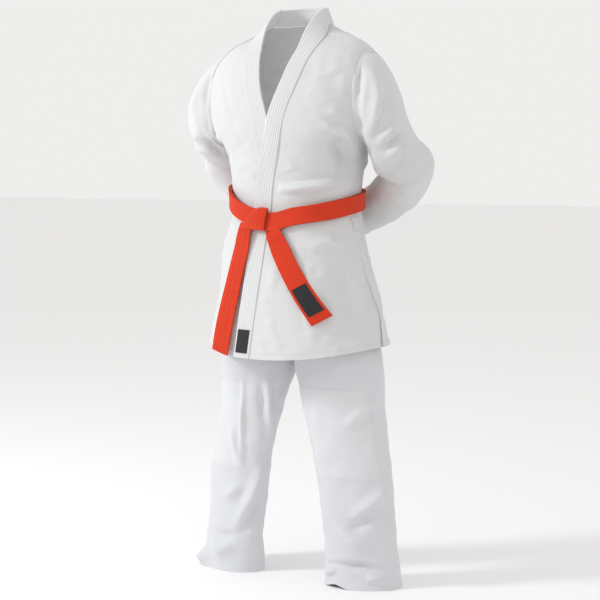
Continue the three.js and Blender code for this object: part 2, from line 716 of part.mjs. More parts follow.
// ---- trousers --------------------------------------------------------------
function addTrouserPanels() {
  for (const facing of ['front', 'back']) {
    const panel = shell({
      surface: (u, v) => {
        const across = lerp(0.004, 0.996, facing === 'front' ? 1 - u : u);
        return legPoint(across, lerp(LEG_HEM_TOP + SEAM_GAP, WAISTBAND.bottom - SEAM_GAP, v), facing);
      },
      columns: 10,
      rows: 14,
      inner: -TROUSER_CLOTH,
      outer: 0,
      adjust: (point) => {
        point.x = Math.max(point.x, SEAM_GAP / 2);
      },
    });
    addPiece(`trouser_left_${facing}_panel`, panel, 'trousers');
    addPiece(`trouser_right_${facing}_panel`, mirrored(panel), 'trousers');
  }
  const kneePatch = shell({
    surface: (u, v) => {
      const across = lerp(KNEE_PATCH.to, KNEE_PATCH.from, u);
      return legPoint(across, lerp(KNEE_PATCH.bottom, KNEE_PATCH.top, v), 'front');
    },
    columns: 8,
    rows: 6,
    inner: PATCH_CLEARANCE + 0.5,
    outer: PATCH_CLEARANCE + 0.5 + PATCH_CLOTH,
  });
  addPiece('knee_patch_left', kneePatch, 'trousers');
  addPiece('knee_patch_right', mirrored(kneePatch), 'trousers');
}

// The turned-up hem closes round the foot, and its bottom rim is flat.
function addTrouserHems() {
  const hem = shell({
    surface: (u, v) => {
      const height = lerp(0, LEG_HEM_TOP, v);
      return u % 1 < 0.5
        ? legPoint(1 - 2 * (u % 1), height, 'front')
        : legPoint(2 * (u % 1) - 1, height, 'back');
    },
    columns: 28,
    rows: 2,
    inner: -2 * TROUSER_CLOTH,
    outer: 0.6,
    ring: true,
    adjust: (point, u, v) => {
      if (v === 0) point.z = 0;
      if (v === 1) point.z = LEG_HEM_TOP;
    },
  });
  addPiece('trouser_hem_left', hem, 'trousers');
  addPiece('trouser_hem_right', mirrored(hem), 'trousers');
}

function addWaistband() {
  const band = shell({
    surface: (u, v) => hipPoint(2 * Math.PI * u, lerp(WAISTBAND.bottom, WAISTBAND.top, v)),
    columns: 36,
    rows: 2,
    inner: 1 - WAISTBAND.thickness,
    outer: 1,
    ring: true,
  });
  const eyeletHeight = (WAISTBAND.bottom + WAISTBAND.top) / 2;
  const eyelets = [-46, 46].map((x) => [x, -100, eyeletHeight]);
  addPiece('trouser_waistband', drillAlongY(band, eyelets, 9, 60), 'trousers');
  for (const [side, x] of [['left', 22], ['right', -22]]) {
    const bulge = (v) => 1 + PATCH_CLEARANCE + 5 * Math.sin(Math.PI * v) ** 0.6;
    addPiece(`drawstring_loop_${side}`, shell({
      surface: (u, v) => {
        const angle = Math.asin((x + lerp(-5, 5, u)) / 148);
        return hipPoint(angle, lerp(WAISTBAND.bottom + 4, WAISTBAND.top - 4, v));
      },
      columns: 1,
      rows: 8,
      inner: (u, v) => bulge(v),
      outer: (u, v) => bulge(v) + 1.4,
    }), 'trousers');
  }
}

addJacketBody();
addShoulderPatches();
addBands();
addSkirt();
addSleeves();
addBelt();
addTrouserPanels();
addTrouserHems();
addWaistband();

// The origin is on the floor, in the middle of the whole uniform.
const bounds = new THREE.Box3().setFromObject(group);
const middle = bounds.getCenter(new THREE.Vector3());
for (const mesh of group.children) mesh.geometry.translate(-middle.x, -middle.y, -bounds.min.z);

export default group;
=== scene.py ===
"""A judo uniform standing as worn: woven jacket wrapped left over right, quilted belt, light trousers."""
import math

import bmesh
import bpy
import numpy as np
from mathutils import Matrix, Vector


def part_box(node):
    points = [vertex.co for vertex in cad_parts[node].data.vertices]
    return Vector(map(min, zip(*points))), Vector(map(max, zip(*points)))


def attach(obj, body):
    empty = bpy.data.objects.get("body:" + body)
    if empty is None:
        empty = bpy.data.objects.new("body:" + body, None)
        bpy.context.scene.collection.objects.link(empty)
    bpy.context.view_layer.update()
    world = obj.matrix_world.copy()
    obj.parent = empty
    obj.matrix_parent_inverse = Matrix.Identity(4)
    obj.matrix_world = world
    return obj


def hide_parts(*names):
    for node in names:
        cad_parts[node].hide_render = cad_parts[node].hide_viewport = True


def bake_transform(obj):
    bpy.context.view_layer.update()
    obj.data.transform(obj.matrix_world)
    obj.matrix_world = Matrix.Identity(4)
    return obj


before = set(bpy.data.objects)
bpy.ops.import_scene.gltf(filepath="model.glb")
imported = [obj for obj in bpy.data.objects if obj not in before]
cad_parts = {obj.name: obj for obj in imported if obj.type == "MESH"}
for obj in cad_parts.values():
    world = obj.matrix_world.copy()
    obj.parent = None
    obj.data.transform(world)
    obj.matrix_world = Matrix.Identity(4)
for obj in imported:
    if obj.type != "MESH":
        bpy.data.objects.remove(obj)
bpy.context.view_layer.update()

# ---- sizes, in millimetres until a mesh is made ------------------------------
JACKET_CLOTH = 3.0
TROUSER_CLOTH = 1.6
BAND_THICKNESS = 6.0
WRAP_LIFT = 7.0
BELT_WIDTH = 45
BELT_THICKNESS = 4.2
BELT_CLEARANCE = 2.4
WAIST_SEAM = 862
NECK_LINE = 1365
HEM_LINE = 560
ARMHOLE_X = 198.3
SEWN_X = 198.6                # where the sleeve is sewn to the body
CROTCH_HEIGHT = 520
RISE_TOP = 800
SIDE = math.pi / 2

# Stations up the jacket: half width, front and back depth, middle, roundness and heights.
JACKET_STATIONS = {
    "at": (560, 640, 750, 862, 915, 970, 1030, 1065, 1095, 1130, 1180, 1230, 1268, 1300, 1335, 1365),
    "half": (250, 232, 205, 177, 164, 166, 174, 183, 205, 222, 230, 230, 218, 185, 130, 80),
    "front": (175, 166, 151, 133, 123, 125, 131, 134, 136, 136, 132, 121, 107, 90, 74, 60),
    "back": (168, 158, 146, 130, 120, 122, 128, 131, 133, 134, 133, 126, 112, 94, 77, 62),
    "shift": (0, 0, 0, 0, 0, 0, 0, 0, 0, 0, 0, 0, 2, 6, 15, 25),
    "power": (2.1, 2.1, 2.15, 2.2, 2.2, 2.2, 2.3, 2.4, 2.5, 2.5, 2.5, 2.5, 2.4, 2.3, 2.1, 2.0),
    "z_front": (560, 640, 750, 862, 915, 970, 1030, 1065, 1095, 1130, 1180, 1228, 1268, 1298, 1322, 1338),
    "z_side": (590, 655, 755, 862, 915, 970, 1030, 1065, 1095, 1130, 1180, 1228, 1270, 1309, 1337, 1362),
    "z_back": (612, 668, 760, 862, 915, 970, 1030, 1065, 1095, 1130, 1180, 1230, 1272, 1308, 1343, 1368),
}
LAPEL_EDGES = {
    "at": (560, 700, 880, 970, 1060, 1134, 1200, 1270, 1300, 1330, 1350, 1365),
    "seam": (-25, -12, 4, 12, 32, 47, 69, 88, 97, 101, 93, 80),
    "free": (-71, -58, -42, -34, -14, 1, 23, 42, 51, 55, 60, 62),
}
STANDING_EDGE = {
    "at": (1290, 1310, 1330, 1350, 1365),
    "x": (47, 52, 57, 61, 62),
    "y": (-84, -72, -48, -8, 28),
    "z": (1296, 1322, 1354, 1388, 1403),
}
STAND_START, STAND_FULL = 1270, 1335
COLLAR_TOP = {"half": 62, "back": 50, "y": 28, "z": 1403, "rise": 7}
SLEEVE_OUTSIDE = (
    (198.6, 0, 1291), (234, 0, 1266), (266, 4, 1222), (290, 14, 1160), (308, 40, 1082),
    (322, 80, 1000), (262, 132, 932), (190, 172, 892), (116, 194, 860), (56, 206, 842),
)
SLEEVE_INSIDE = (
    (198.6, 0, 1086), (206, 2, 1062), (208, 10, 1034), (206, 28, 1006), (204, 62, 1010),
    (204, 92, 1040), (196, 112, 1036), (158, 148, 1004), (100, 182, 968), (50, 196, 948),
)
SLEEVE_DEPTH = (84, 86, 80, 72, 66, 62, 58, 56, 54, 52)
ARM_SHIFT = {"left": (0, -4, 0), "right": (0, 30, 20)}
LEG_STATIONS = {
    "at": (0, 35, 100, 250, 370, 450, 520, 620, 1010),
    "x": (190, 187, 182, 166, 148, 134, 122, 110, 80),
    "y": (0, 0, -2, 0, -4, -4, 0, 0, 0),
    "half": (97, 93, 90, 92, 97, 105, 114, 109, 80),
    "depth": (66, 61, 55, 57, 63, 69, 84, 100, 100),
    "turn": (18, 18, 18, 16, 13, 9, 4, 0, 0),
}
HIP_STATIONS = {
    "at": (500, 620, 700, 800, 862, 915, 1010),
    "half": (222, 217, 202, 178, 163, 149, 147),
    "front": (122, 124, 124, 121, 116, 107, 105),
    "back": (126, 130, 128, 122, 114, 104, 102),
}


# ---- curves through the stations ---------------------------------------------
def profile(stations, column, at):
    """A smooth curve through one column of the stations, at every value of at."""
    knots = np.array(stations["at"], float)
    values = np.array(stations[column], float)
    at = np.clip(np.asarray(at, float), knots[0], knots[-1])
    index = np.clip(np.searchsorted(knots, at, side="right") - 1, 0, len(knots) - 2)
    before = np.maximum(index - 1, 0)
    after = np.minimum(index + 2, len(knots) - 1)
    span = knots[index + 1] - knots[index]
    share = (at - knots[index]) / span
    slope_from = (values[index + 1] - values[before]) / (knots[index + 1] - knots[before]) * span
    slope_to = (values[after] - values[index]) / (knots[after] - knots[index]) * span
    square, cube = share**2, share**3
    return (
        values[index] * (2 * cube - 3 * square + 1)
        + slope_from * (cube - 2 * square + share)
        + values[index + 1] * (3 * square - 2 * cube)
        + slope_to * (cube - square)
    )


def smooth(value, start, end):
    """0 before the start and 1 after the end, with a smooth rise between them."""
    share = np.clip((np.asarray(value, float) - start) / (end - start), 0, 1)
    return share * share * (3 - 2 * share)


def signed_power(value, power):
    return np.sign(value) * np.abs(value) ** power


def mix(a, b, share):
    return a + (b - a) * share


def stack(x, y, z):
    """Points from their three coordinates."""
    return np.stack(np.broadcast_arrays(x, y, z), axis=-1)


# ---- the uniform's surfaces, as functions of arrays ---------------------------
def jacket_point(angle, station):
    """Angle 0 is the middle of the front and a quarter turn is the wearer's left side."""
    power = 2 / profile(JACKET_STATIONS, "power", station)
    across, along = np.sin(angle), np.cos(angle)
    facing = along > 0
    depth = np.where(
        facing,
        profile(JACKET_STATIONS, "front", station),
        profile(JACKET_STATIONS, "back", station),
    )
    middle = np.where(
        facing,
        profile(JACKET_STATIONS, "z_front", station),
        profile(JACKET_STATIONS, "z_back", station),
    )
    return stack(
        profile(JACKET_STATIONS, "half", station) * signed_power(across, power),
        profile(JACKET_STATIONS, "shift", station) - depth * signed_power(along, power),
        mix(middle, profile(JACKET_STATIONS, "z_side", station), across**2),
    )


def front_angle(x, station):
    """The angle at which the jacket's front is x across."""
    share = x / profile(JACKET_STATIONS, "half", station)
    power = profile(JACKET_STATIONS, "power", station) / 2
    return np.arcsin(np.clip(signed_power(share, power), -1, 1))


def seam_angle(station):
    return front_angle(profile(LAPEL_EDGES, "seam", station), station)


def wrap_lift(angle, station):
    """How far the left front is carried outward to pass over the right front."""
    turned = 1 - smooth(np.abs(angle), math.radians(24), math.radians(60))
    return WRAP_LIFT * turned * (1 - smooth(station, 1150, 1270))


def lapel_point(across, station):
    """The lapel band: across is 0 at its free edge and 1 at its sewn edge."""
    free_angle = front_angle(profile(LAPEL_EDGES, "free", station), station)
    lying = jacket_point(mix(free_angle, seam_angle(station), across), station)
    edge = stack(*(profile(STANDING_EDGE, axis, station) for axis in "xyz"))
    seam = jacket_point(seam_angle(station), station)
    standing = mix(edge, seam, np.asarray(across)[..., None])
    return mix(lying, standing, smooth(station, STAND_START, STAND_FULL)[..., None])


def collar_point(angle, up):
    """The collar band behind the neck: up is 0 at its seam and 1 at its top."""
    top = stack(
        COLLAR_TOP["half"] * np.sin(angle),
        COLLAR_TOP["y"] - COLLAR_TOP["back"] * np.cos(angle),
        COLLAR_TOP["z"] + COLLAR_TOP["rise"] * np.cos(angle) ** 2,
    )
    return mix(jacket_point(angle, np.full_like(angle, NECK_LINE)), top, np.asarray(up)[..., None])


def hip_point(angle, height):
    depth = np.where(
        np.cos(angle) > 0,
        profile(HIP_STATIONS, "front", height),
        profile(HIP_STATIONS, "back", height),
    )
    return stack(profile(HIP_STATIONS, "half", height) * np.sin(angle), -depth * np.cos(angle), height)


def leg_point(across, height, facing):
    """Half of the left leg: across is 0 at the outside seam and 1 at the inside seam."""
    sign = -1 if facing == "front" else 1
    hip = hip_point(SIDE * (1 + sign * across), height)
    turn = np.radians(profile(LEG_STATIONS, "turn", height))
    side = profile(LEG_STATIONS, "half", height) * np.cos(np.pi * across)
    deep = sign * profile(LEG_STATIONS, "depth", height) * np.sin(np.pi * across)
    leg = stack(
        profile(LEG_STATIONS, "x", height) + side * np.cos(turn) - deep * np.sin(turn),
        profile(LEG_STATIONS, "y", height) + side * np.sin(turn) + deep * np.cos(turn),
        height,
    )
    blend = 1 - smooth(height, CROTCH_HEIGHT, RISE_TOP)
    point = mix(hip, leg, np.asarray(blend)[..., None])
    point[..., 0] = np.maximum(point[..., 0], 0.4)
    return point


def through(points, along):
    """A smooth curve through evenly spaced points."""
    points = np.array(points, float)
    knots = {"at": tuple(range(len(points)))}
    for axis in range(3):
        knots[axis] = tuple(points[:, axis])
    return stack(*(profile(knots, axis, np.asarray(along) * (len(points) - 1)) for axis in range(3)))


def armhole_stations():
    """The stations where the jacket's side crosses the armhole: armpit and shoulder."""
    found = []
    for low, high in ((1030, 1130), (1230, 1330)):
        tries = np.linspace(low, high, 4001)
        half = profile(JACKET_STATIONS, "half", tries)
        found.append(tries[np.argmin(np.abs(half - ARMHOLE_X))])
    return found


ARMPIT, SHOULDER = armhole_stations()


def armhole_point(round_share):
    """The armhole's outline: top, down the front, armpit, and up the back."""
    height = (1 + np.cos(2 * np.pi * round_share)) / 2
    station = mix(ARMPIT + 0.01, SHOULDER - 0.01, height)
    angle = front_angle(ARMHOLE_X, station)
    point = jacket_point(np.where(round_share <= 0.5, angle, np.pi - angle), station)
    point[..., 0] = SEWN_X
    return point


def sleeve_point(round_share, along, shift):
    """The left sleeve: round it from the shoulder line over the front, and along it to the cuff."""
    share = np.exp(-(((np.arange(len(SLEEVE_DEPTH)) - 3.6) / 1.3) ** 2))
    share[0] = 0
    carried = share[:, None] * np.array(shift, float)
    outside_points = np.array(SLEEVE_OUTSIDE, float) + carried
    inside_points = np.array(SLEEVE_INSIDE, float) + carried
    depth_stations = {"at": tuple(range(len(SLEEVE_DEPTH))), "depth": SLEEVE_DEPTH}

    def middle(where):
        return (through(outside_points, where) + through(inside_points, where)) / 2

    def plain(turn_share, where):
        reach = (through(outside_points, where) - through(inside_points, where)) / 2
        ahead = middle(np.minimum(where + 0.01, 1)) - middle(np.maximum(where - 0.01, 0))
        straight = np.zeros_like(ahead)
        straight[..., 0] = np.linalg.norm(ahead, axis=-1)
        ahead = mix(straight, ahead, np.clip(where / 0.02, 0, 1)[..., None])
        deep = np.cross(reach, ahead)
        deep /= np.linalg.norm(deep, axis=-1, keepdims=True)
        depth = profile(depth_stations, "depth", where * (len(SLEEVE_DEPTH) - 1))
        turn = 2 * np.pi * turn_share
        return (
            middle(where)
            + reach * np.cos(turn)[..., None]
            - deep * (depth * np.sin(turn))[..., None]
        )

    round_share, along = np.broadcast_arrays(round_share, along)
    hold = 1 - smooth(along, 0, 0.16)
    start = armhole_point(round_share % 1) - plain(round_share, np.zeros_like(along))
    return plain(round_share, along) + start * hold[..., None]


# ---- folds -------------------------------------------------------------------
def normals_of(points, ring=False):
    """Outward normals of a grid of points whose columns run round and rows run up."""
    if ring:
        wrapped = np.concatenate([points[:, -2:-1], points, points[:, 1:2]], axis=1)
        round_step = wrapped[:, 2:] - wrapped[:, :-2]
    else:
        round_step = np.gradient(points, axis=1)
    up_step = np.gradient(points, axis=0)
    normal = np.cross(round_step, up_step)
    return normal / np.maximum(np.linalg.norm(normal, axis=-1, keepdims=True), 1e-9)


def near_path(points, path):
    """Distance from every point to a line through places, and the share of the line passed there."""
    corners = np.array(path, float)
    lengths = np.linalg.norm(np.diff(corners, axis=0), axis=1)
    passed = np.concatenate([[0], np.cumsum(lengths)]) / lengths.sum()
    nearest = np.full(points.shape[:-1], 1e9)
    along = np.zeros(points.shape[:-1])
    for index, start in enumerate(corners[:-1]):
        run = corners[index + 1] - start
        share = np.clip(((points - start) @ run) / (run @ run), 0, 1)
        distance = np.linalg.norm(points - start - share[..., None] * run, axis=-1)
        along = np.where(distance < nearest, mix(passed[index], passed[index + 1], share), along)
        nearest = np.minimum(nearest, distance)
    return nearest, along


def fold_height(points, folds):
    """Sum of the ridges (positive) and hollows (negative) near every point; they die out at the ends."""
    total = np.zeros(points.shape[:-1])
    for height, width, path in folds:
        distance, along = near_path(points, path)
        away = (distance / (1.15 * width)) ** 2
        strength = mix(0.15, 1.25, np.sin(np.pi * along))
        total += height * strength * (1 - 0.55 * away) * np.exp(-away)
    return total


def rumple(points, size, seed, stretch=(1, 1, 1)):
    """Gentle uneven waviness from -1 to 1, with lumps about the given size."""
    random = np.random.default_rng(seed)
    total = np.zeros(points.shape[:-1])
    for _ in range(7):
        direction = random.normal(size=3)
        direction *= 2 * math.pi / (size * random.uniform(0.7, 1.6) * np.linalg.norm(direction))
        total += np.sin(points @ (direction * np.array(stretch)) + random.uniform(0, 2 * math.pi))
    return total / 4


# ---- meshes ------------------------------------------------------------------
def hem_box_middle():
    """Where the middle between the two trouser hems lies in the frame, in metres."""
    left_low, left_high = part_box("trouser_hem_left")
    right_low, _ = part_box("trouser_hem_right")
    return np.array(((right_low[0] + left_high[0]) / 2, (left_low[1] + left_high[1]) / 2, 0))


ORIGIN = hem_box_middle()


def place(points):
    """Millimetres about the body's axis become metres in the frame."""
    return np.asarray(points, float) * 0.001 + ORIGIN


def run_lengths(points, axis):
    """Distance along a grid axis, in metres, averaged over the other."""
    steps = np.linalg.norm(np.diff(points, axis=axis), axis=-1).mean(axis=1 - axis)
    return np.concatenate([[0], np.cumsum(steps)]) * 0.001


SHARP = math.radians(50)
CLOTH = ".cloth"               # ends the name of every mesh, so that none is named as a CAD node


def put(name, data):
    """An object in the scene that holds the given data."""
    obj = bpy.data.objects.new(name, data)
    bpy.context.scene.collection.objects.link(obj)
    return obj


def grid_quads(index, ring):
    """The four corners of every cell of a grid, by index."""
    following = np.roll(index, -1, axis=1) if ring else index[:, 1:]
    here = index if ring else index[:, :-1]
    quads = np.stack([here[:-1], following[:-1], following[1:], here[1:]], axis=-1)
    return quads.reshape(-1, 4)


def cut_size(points):
    """The widest and longest runs of a grid of cloth, in metres."""
    wide = np.linalg.norm(np.diff(points, axis=1), axis=-1).sum(axis=1).max()
    long = np.linalg.norm(np.diff(points, axis=0), axis=-1).sum(axis=0).max()
    return float(wide) * 0.001, float(long) * 0.001


def slab(name, points, outer, inner, material, ring=False, mirror=False, seam=None, keep=None):
    """A closed solid between an outer and an inner offset of a grid.

    A ring's last column repeats its first one. Its two texture layers are the cloth's own
    coordinates and the seam coordinates, both in metres.
    """
    normal = normals_of(points, ring)
    sides = []
    for offset in (outer, inner):
        side = points + normal * np.broadcast_to(offset, points.shape[:-1])[..., None]
        if keep is not None:
            side = keep(side)
        sides.append(side)
    across, up = np.meshgrid(run_lengths(points, 1), run_lengths(points, 0))
    cloth_uv = np.stack([across, up], axis=-1)
    seam_uv = cloth_uv if seam is None else seam(across, up)
    rows, columns = points.shape[:2]
    count = columns - 1 if ring else columns
    index = np.arange(rows * count).reshape(rows, count)
    uv_index = np.arange(rows * columns).reshape(rows, columns)
    layer_size, uv_size = rows * count, rows * columns
    outside = grid_quads(index, ring)
    outside_uv = grid_quads(uv_index, False)
    faces = [outside, outside[:, ::-1] + layer_size]
    corners = [outside_uv, outside_uv[:, ::-1] + uv_size]
    borders = [(index[0], uv_index[0], False), (index[-1], uv_index[-1], True)]
    if not ring:
        borders += [(index[:, 0], uv_index[:, 0], True), (index[:, -1], uv_index[:, -1], False)]
    for border, border_uv, flip in borders:
        following = np.roll(border, -1) if ring else border[1:]
        here = border if ring else border[:-1]
        rim = np.stack([following, here, here + layer_size, following + layer_size], axis=-1)
        rim_uv = np.stack([border_uv[1:], border_uv[:-1], border_uv[:-1], border_uv[1:]], axis=-1)
        faces.append(rim[:, ::-1] if flip else rim)
        corners.append(rim_uv[:, ::-1] if flip else rim_uv)
    faces, corners = np.concatenate(faces), np.concatenate(corners)
    made = np.concatenate([side[:, :count].reshape(-1, 3) for side in sides])
    if mirror:
        made = made * (-1, 1, 1)
        faces, corners = faces[:, ::-1], corners[:, ::-1]
    mesh = bpy.data.meshes.new(name)
    mesh.from_pydata(place(made).tolist(), [], faces.tolist())
    for layer_name, values in (("cloth", cloth_uv), ("seam", seam_uv)):
        layer = mesh.uv_layers.new(name=layer_name)
        doubled = np.concatenate([values.reshape(-1, 2)] * 2)
        layer.data.foreach_set("uv", doubled[corners.ravel()].astype(np.float32).ravel())
    mesh.materials.append(material)
    mesh.shade_smooth()
    mesh.set_sharp_from_angle(angle=SHARP)
    cut_size(points)
    return put(name + CLOTH, mesh)


def cut_armhole(obj, mirror):
    """Cuts the jacket along the armhole's upright plane, and closes the cut."""
    side = -1 if mirror else 1
    mesh = bmesh.new()
    mesh.from_mesh(obj.data)
    cut = bmesh.ops.bisect_plane(
        mesh,
        geom=mesh.verts[:] + mesh.edges[:] + mesh.faces[:],
        plane_co=Vector(place((side * SEWN_X, 0, 0))),
        plane_no=Vector((side, 0, 0)),
        clear_outer=True,
    )
    edges = [edge for edge in cut["geom_cut"] if isinstance(edge, bmesh.types.BMEdge)]
    bmesh.ops.edgenet_fill(mesh, edges=edges)
    mesh.to_mesh(obj.data)
    mesh.free()
    obj.data.set_sharp_from_angle(angle=SHARP)


def from_edges(across, up):
    """Seam coordinates: run along, and distance from the nearest edge of the piece."""
    inside = np.minimum.reduce([across, across.max() - across, up, up.max() - up])
    return np.stack([across + up, inside], axis=-1)


def from_bottom(across, up):
    """Seam coordinates: run along, and distance from the bottom edge."""
    return np.stack([across, up], axis=-1)


def from_top(across, up):
    """Seam coordinates: run along, and distance from the top edge."""
    return np.stack([across, up.max() - up], axis=-1)


# ---- materials ---------------------------------------------------------------
BAND_STITCH = 0.0036           # metres
STITCH_LENGTH = 0.0042
STITCH_WIDTH = 0.0016


class Signal:
    """The output of a shader node, which adds and multiplies like a number."""

    def __init__(self, shader, socket):
        self.shader = shader
        self.socket = socket

    def __add__(self, other):
        return self.shader.math("ADD", self, other)

    def __sub__(self, other):
        return self.shader.math("SUBTRACT", self, other)

    def __mul__(self, other):
        return self.shader.math("MULTIPLY", self, other)

    def __truediv__(self, other):
        return self.shader.math("DIVIDE", self, other)


class Shader:
    """Small helpers for wiring one material's nodes."""

    def __init__(self, name):
        self.material = bpy.data.materials.new(name)
        self.material.use_nodes = True
        self.tree = self.material.node_tree
        self.surface = self.tree.nodes["Principled BSDF"]

    def node(self, kind, **settings):
        made = self.tree.nodes.new(kind)
        for key, value in settings.items():
            setattr(made, key, value)
        return made

    def wire(self, source, target):
        socket = source.socket if isinstance(source, Signal) else source
        self.tree.links.new(socket, target)

    def math(self, operation, *inputs, clamp=False):
        made = self.node("ShaderNodeMath", operation=operation, use_clamp=clamp)
        for slot, value in enumerate(inputs):
            if isinstance(value, Signal):
                self.wire(value, made.inputs[slot])
            else:
                made.inputs[slot].default_value = value
        return Signal(self, made.outputs[0])

    def coordinates(self, layer):
        uv = self.node("ShaderNodeUVMap", uv_map=layer)
        split = self.node("ShaderNodeSeparateXYZ")
        self.wire(uv.outputs[0], split.inputs[0])
        return Signal(self, split.outputs[0]), Signal(self, split.outputs[1])

    def ripple(self, value, pitch):
        """A rounded ridge from 0 to 1 once every pitch metres."""
        return self.math("SINE", self.math("FRACT", value / pitch) * math.pi)

    def groove(self, off, half_width):
        """1 in the middle of a groove, falling to 0 at its half width."""
        return self.math("SUBTRACT", 1, self.math("ABSOLUTE", off) / half_width, clamp=True)


def rice_grain(shader, across, up, pitch):
    """Rows of short raised grains, each row shifted by half a grain."""
    row_pitch = pitch * 0.55
    odd = shader.math("MODULO", shader.math("FLOOR", up / row_pitch), 2)
    return shader.ripple(across + odd * (pitch / 2), pitch) * shader.ripple(up, row_pitch)


def diamonds(shader, across, up, pitch):
    """Raised diamonds between two crossing sets of sunken lines."""
    return shader.math("MINIMUM", shader.ripple(across + up, pitch), shader.ripple(across - up, pitch))


def twill(shader, across, up, pitch):
    """Slanting ribs."""
    return shader.ripple(across + up * 0.8, pitch)


def band_groove_painted_shade(shader, lines):
    """Painted shade along stitch lines evenly spaced across a band, each broken up by its threads."""
    along, share = shader.coordinates("seam")
    phase = shader.math("FRACT", share * (lines + 1) + 0.5)
    return shader.groove(phase - 0.5, 0.16) * (shader.ripple(along, BAND_STITCH) * 0.45 + 0.55)


def stitch_rows(shader, distances):
    """Sunken rows of thread at the given distances from the edge, and their dashes."""
    along, away = shader.coordinates("seam")
    rows = shader.groove(away - distances[0], STITCH_WIDTH)
    for distance in distances[1:]:
        rows = shader.math("MAXIMUM", rows, shader.groove(away - distance, STITCH_WIDTH))
    dashes = shader.math("GREATER_THAN", shader.math("FRACT", along / STITCH_LENGTH), 0.25)
    return rows, dashes


def cloth(name, colour, weave, pitch, depth, stitches=(), lines=0, line_painted_shade=0.0,
          stitch_depth=0.0006, roughness=0.9, sheen=0.25, uneven=0.03, weave_painted_shade=0.07):
    """Woven cotton: raised weave, stitch rows and slightly uneven colour, with painted shade in the weave's
    hollows, the stitch rows and the band lines. Lengths are in metres.
    """
    shader = Shader(name)
    surface = shader.surface
    surface.inputs["Roughness"].default_value = roughness
    surface.inputs["Sheen Weight"].default_value = sheen
    surface.inputs["Sheen Roughness"].default_value = 0.6
    surface.inputs["Specular IOR Level"].default_value = 0.2
    woven = weave(shader, *shader.coordinates("cloth"), pitch)
    height = woven * depth
    # Painted shade: the colour is lighter on the weave's raised grains and darker in its hollows.
    painted_shading = woven * 0.5
    if stitches:
        rows, dashes = stitch_rows(shader, stitches)
        height = height - rows * (dashes * 0.5 + 0.5) * stitch_depth
        # Painted shade: the colour is also darker in the sunken stitch rows.
        painted_shading = painted_shading - rows * 0.4
    bump = shader.node("ShaderNodeBump")
    bump.inputs["Strength"].default_value = 0.8
    bump.inputs["Distance"].default_value = 1.0
    shader.wire(height, bump.inputs["Height"])
    shader.wire(bump.outputs[0], surface.inputs["Normal"])
    texture = shader.node("ShaderNodeTexCoord")
    noise = shader.node("ShaderNodeTexNoise")
    noise.inputs["Scale"].default_value = 9
    noise.inputs["Detail"].default_value = 5
    shader.wire(texture.outputs["Object"], noise.inputs["Vector"])
    worn = (Signal(shader, noise.outputs[0]) - 0.5) * (2 * uneven)
    value = painted_shading * weave_painted_shade + (worn + 0.97)
    # Painted shade: the colour is darker along the band's sunken stitch lines.
    if lines:
        value = value - band_groove_painted_shade(shader, lines) * line_painted_shade
    tint = shader.node("ShaderNodeMix", data_type="RGBA", blend_type="MULTIPLY")
    tint.inputs["Factor"].default_value = 1.0
    tint.inputs["A"].default_value = (*colour, 1)
    combine = shader.node("ShaderNodeCombineColor")
    for channel in range(3):
        shader.wire(value, combine.inputs[channel])
    shader.wire(combine.outputs[0], tint.inputs["B"])
    shader.wire(tint.outputs["Result"], surface.inputs["Base Color"])
    return shader.material


JACKET_WHITE = (0.69, 0.69, 0.69)
TROUSER_WHITE = (0.66, 0.665, 0.69)
BELT_RED = (0.74, 0.048, 0.013)
LABEL_BLACK = (0.022, 0.022, 0.025)
LAPEL_LINES = 6
BELT_LINES = 9

jacket_cloth = cloth("woven jacket cotton", JACKET_WHITE, rice_grain, 0.0056, 0.0007)
skirt_cloth = cloth("diamond woven cotton", JACKET_WHITE, diamonds, 0.0085, 0.0008, (0.012,))
edged_cloth = cloth("edge stitched cotton", JACKET_WHITE, rice_grain, 0.0056, 0.0006, (0.003, 0.009))
# The lapel bands get light painted shade along their stitch lines.
band_cloth = cloth("quilted band cotton", (0.71, 0.71, 0.71), twill, 0.0014, 0.00018,
                   lines=LAPEL_LINES, line_painted_shade=0.09)
trouser_cloth = cloth("trouser twill", TROUSER_WHITE, twill, 0.0016, 0.00012)
hem_cloth = cloth("hem twill", TROUSER_WHITE, twill, 0.0016, 0.00012, (0.026,), stitch_depth=0.0003)
patch_cloth = cloth("knee patch twill", (0.69, 0.695, 0.71), twill, 0.0016, 0.00012, (0.004,),
                    stitch_depth=0.0002)
# The belt gets strong painted shade along its stitch lines.
belt_cloth = cloth("belt cotton", BELT_RED, twill, 0.0018, 0.0003, lines=BELT_LINES, line_painted_shade=0.55,
                   sheen=0.08, uneven=0.07, weave_painted_shade=0.05)
label_cloth = cloth("blank label", LABEL_BLACK, twill, 0.001, 0.0001, roughness=0.5, sheen=0.05)


# ---- folds of each part, in millimetres about the body's axis ------------------
# Each fold is how high it stands (or how deep it sinks), its half width, and its path.
JACKET_FOLDS = (
    (9, 13, [(20, -124, 964), (81, -113, 972), (135, -80, 980), (160, -45, 988)]),
    (-5, 12, [(20, -124, 990), (81, -113, 996), (130, -85, 1002)]),
    (-9, 24, [(151, -103, 1090), (172, -50, 1045), (158, -62, 1000)]),
    (6, 15, [(140, -112, 1118), (178, -90, 1100), (197, -40, 1078)]),
    (5, 13, [(150, -105, 1150), (188, -75, 1128)]),
    (-4, 11, [(148, -110, 1134), (184, -85, 1114)]),
    (-4, 20, [(150, -101, 1236), (160, -95, 1200)]),
    (7, 15, [(-40, -126, 968), (-90, -108, 975), (-135, -78, 984)]),
    (-6, 20, [(-150, -100, 1060), (-165, -60, 1020)]),
    (5, 14, [(-130, -110, 1110), (-180, -85, 1085)]),
    (5, 14, [(60, 118, 985), (120, 100, 1010), (160, 60, 1050)]),
    (5, 14, [(-60, 118, 985), (-120, 100, 1010), (-160, 60, 1050)]),
    (-6, 26, [(0, 130, 1010), (0, 134, 1200)]),
)
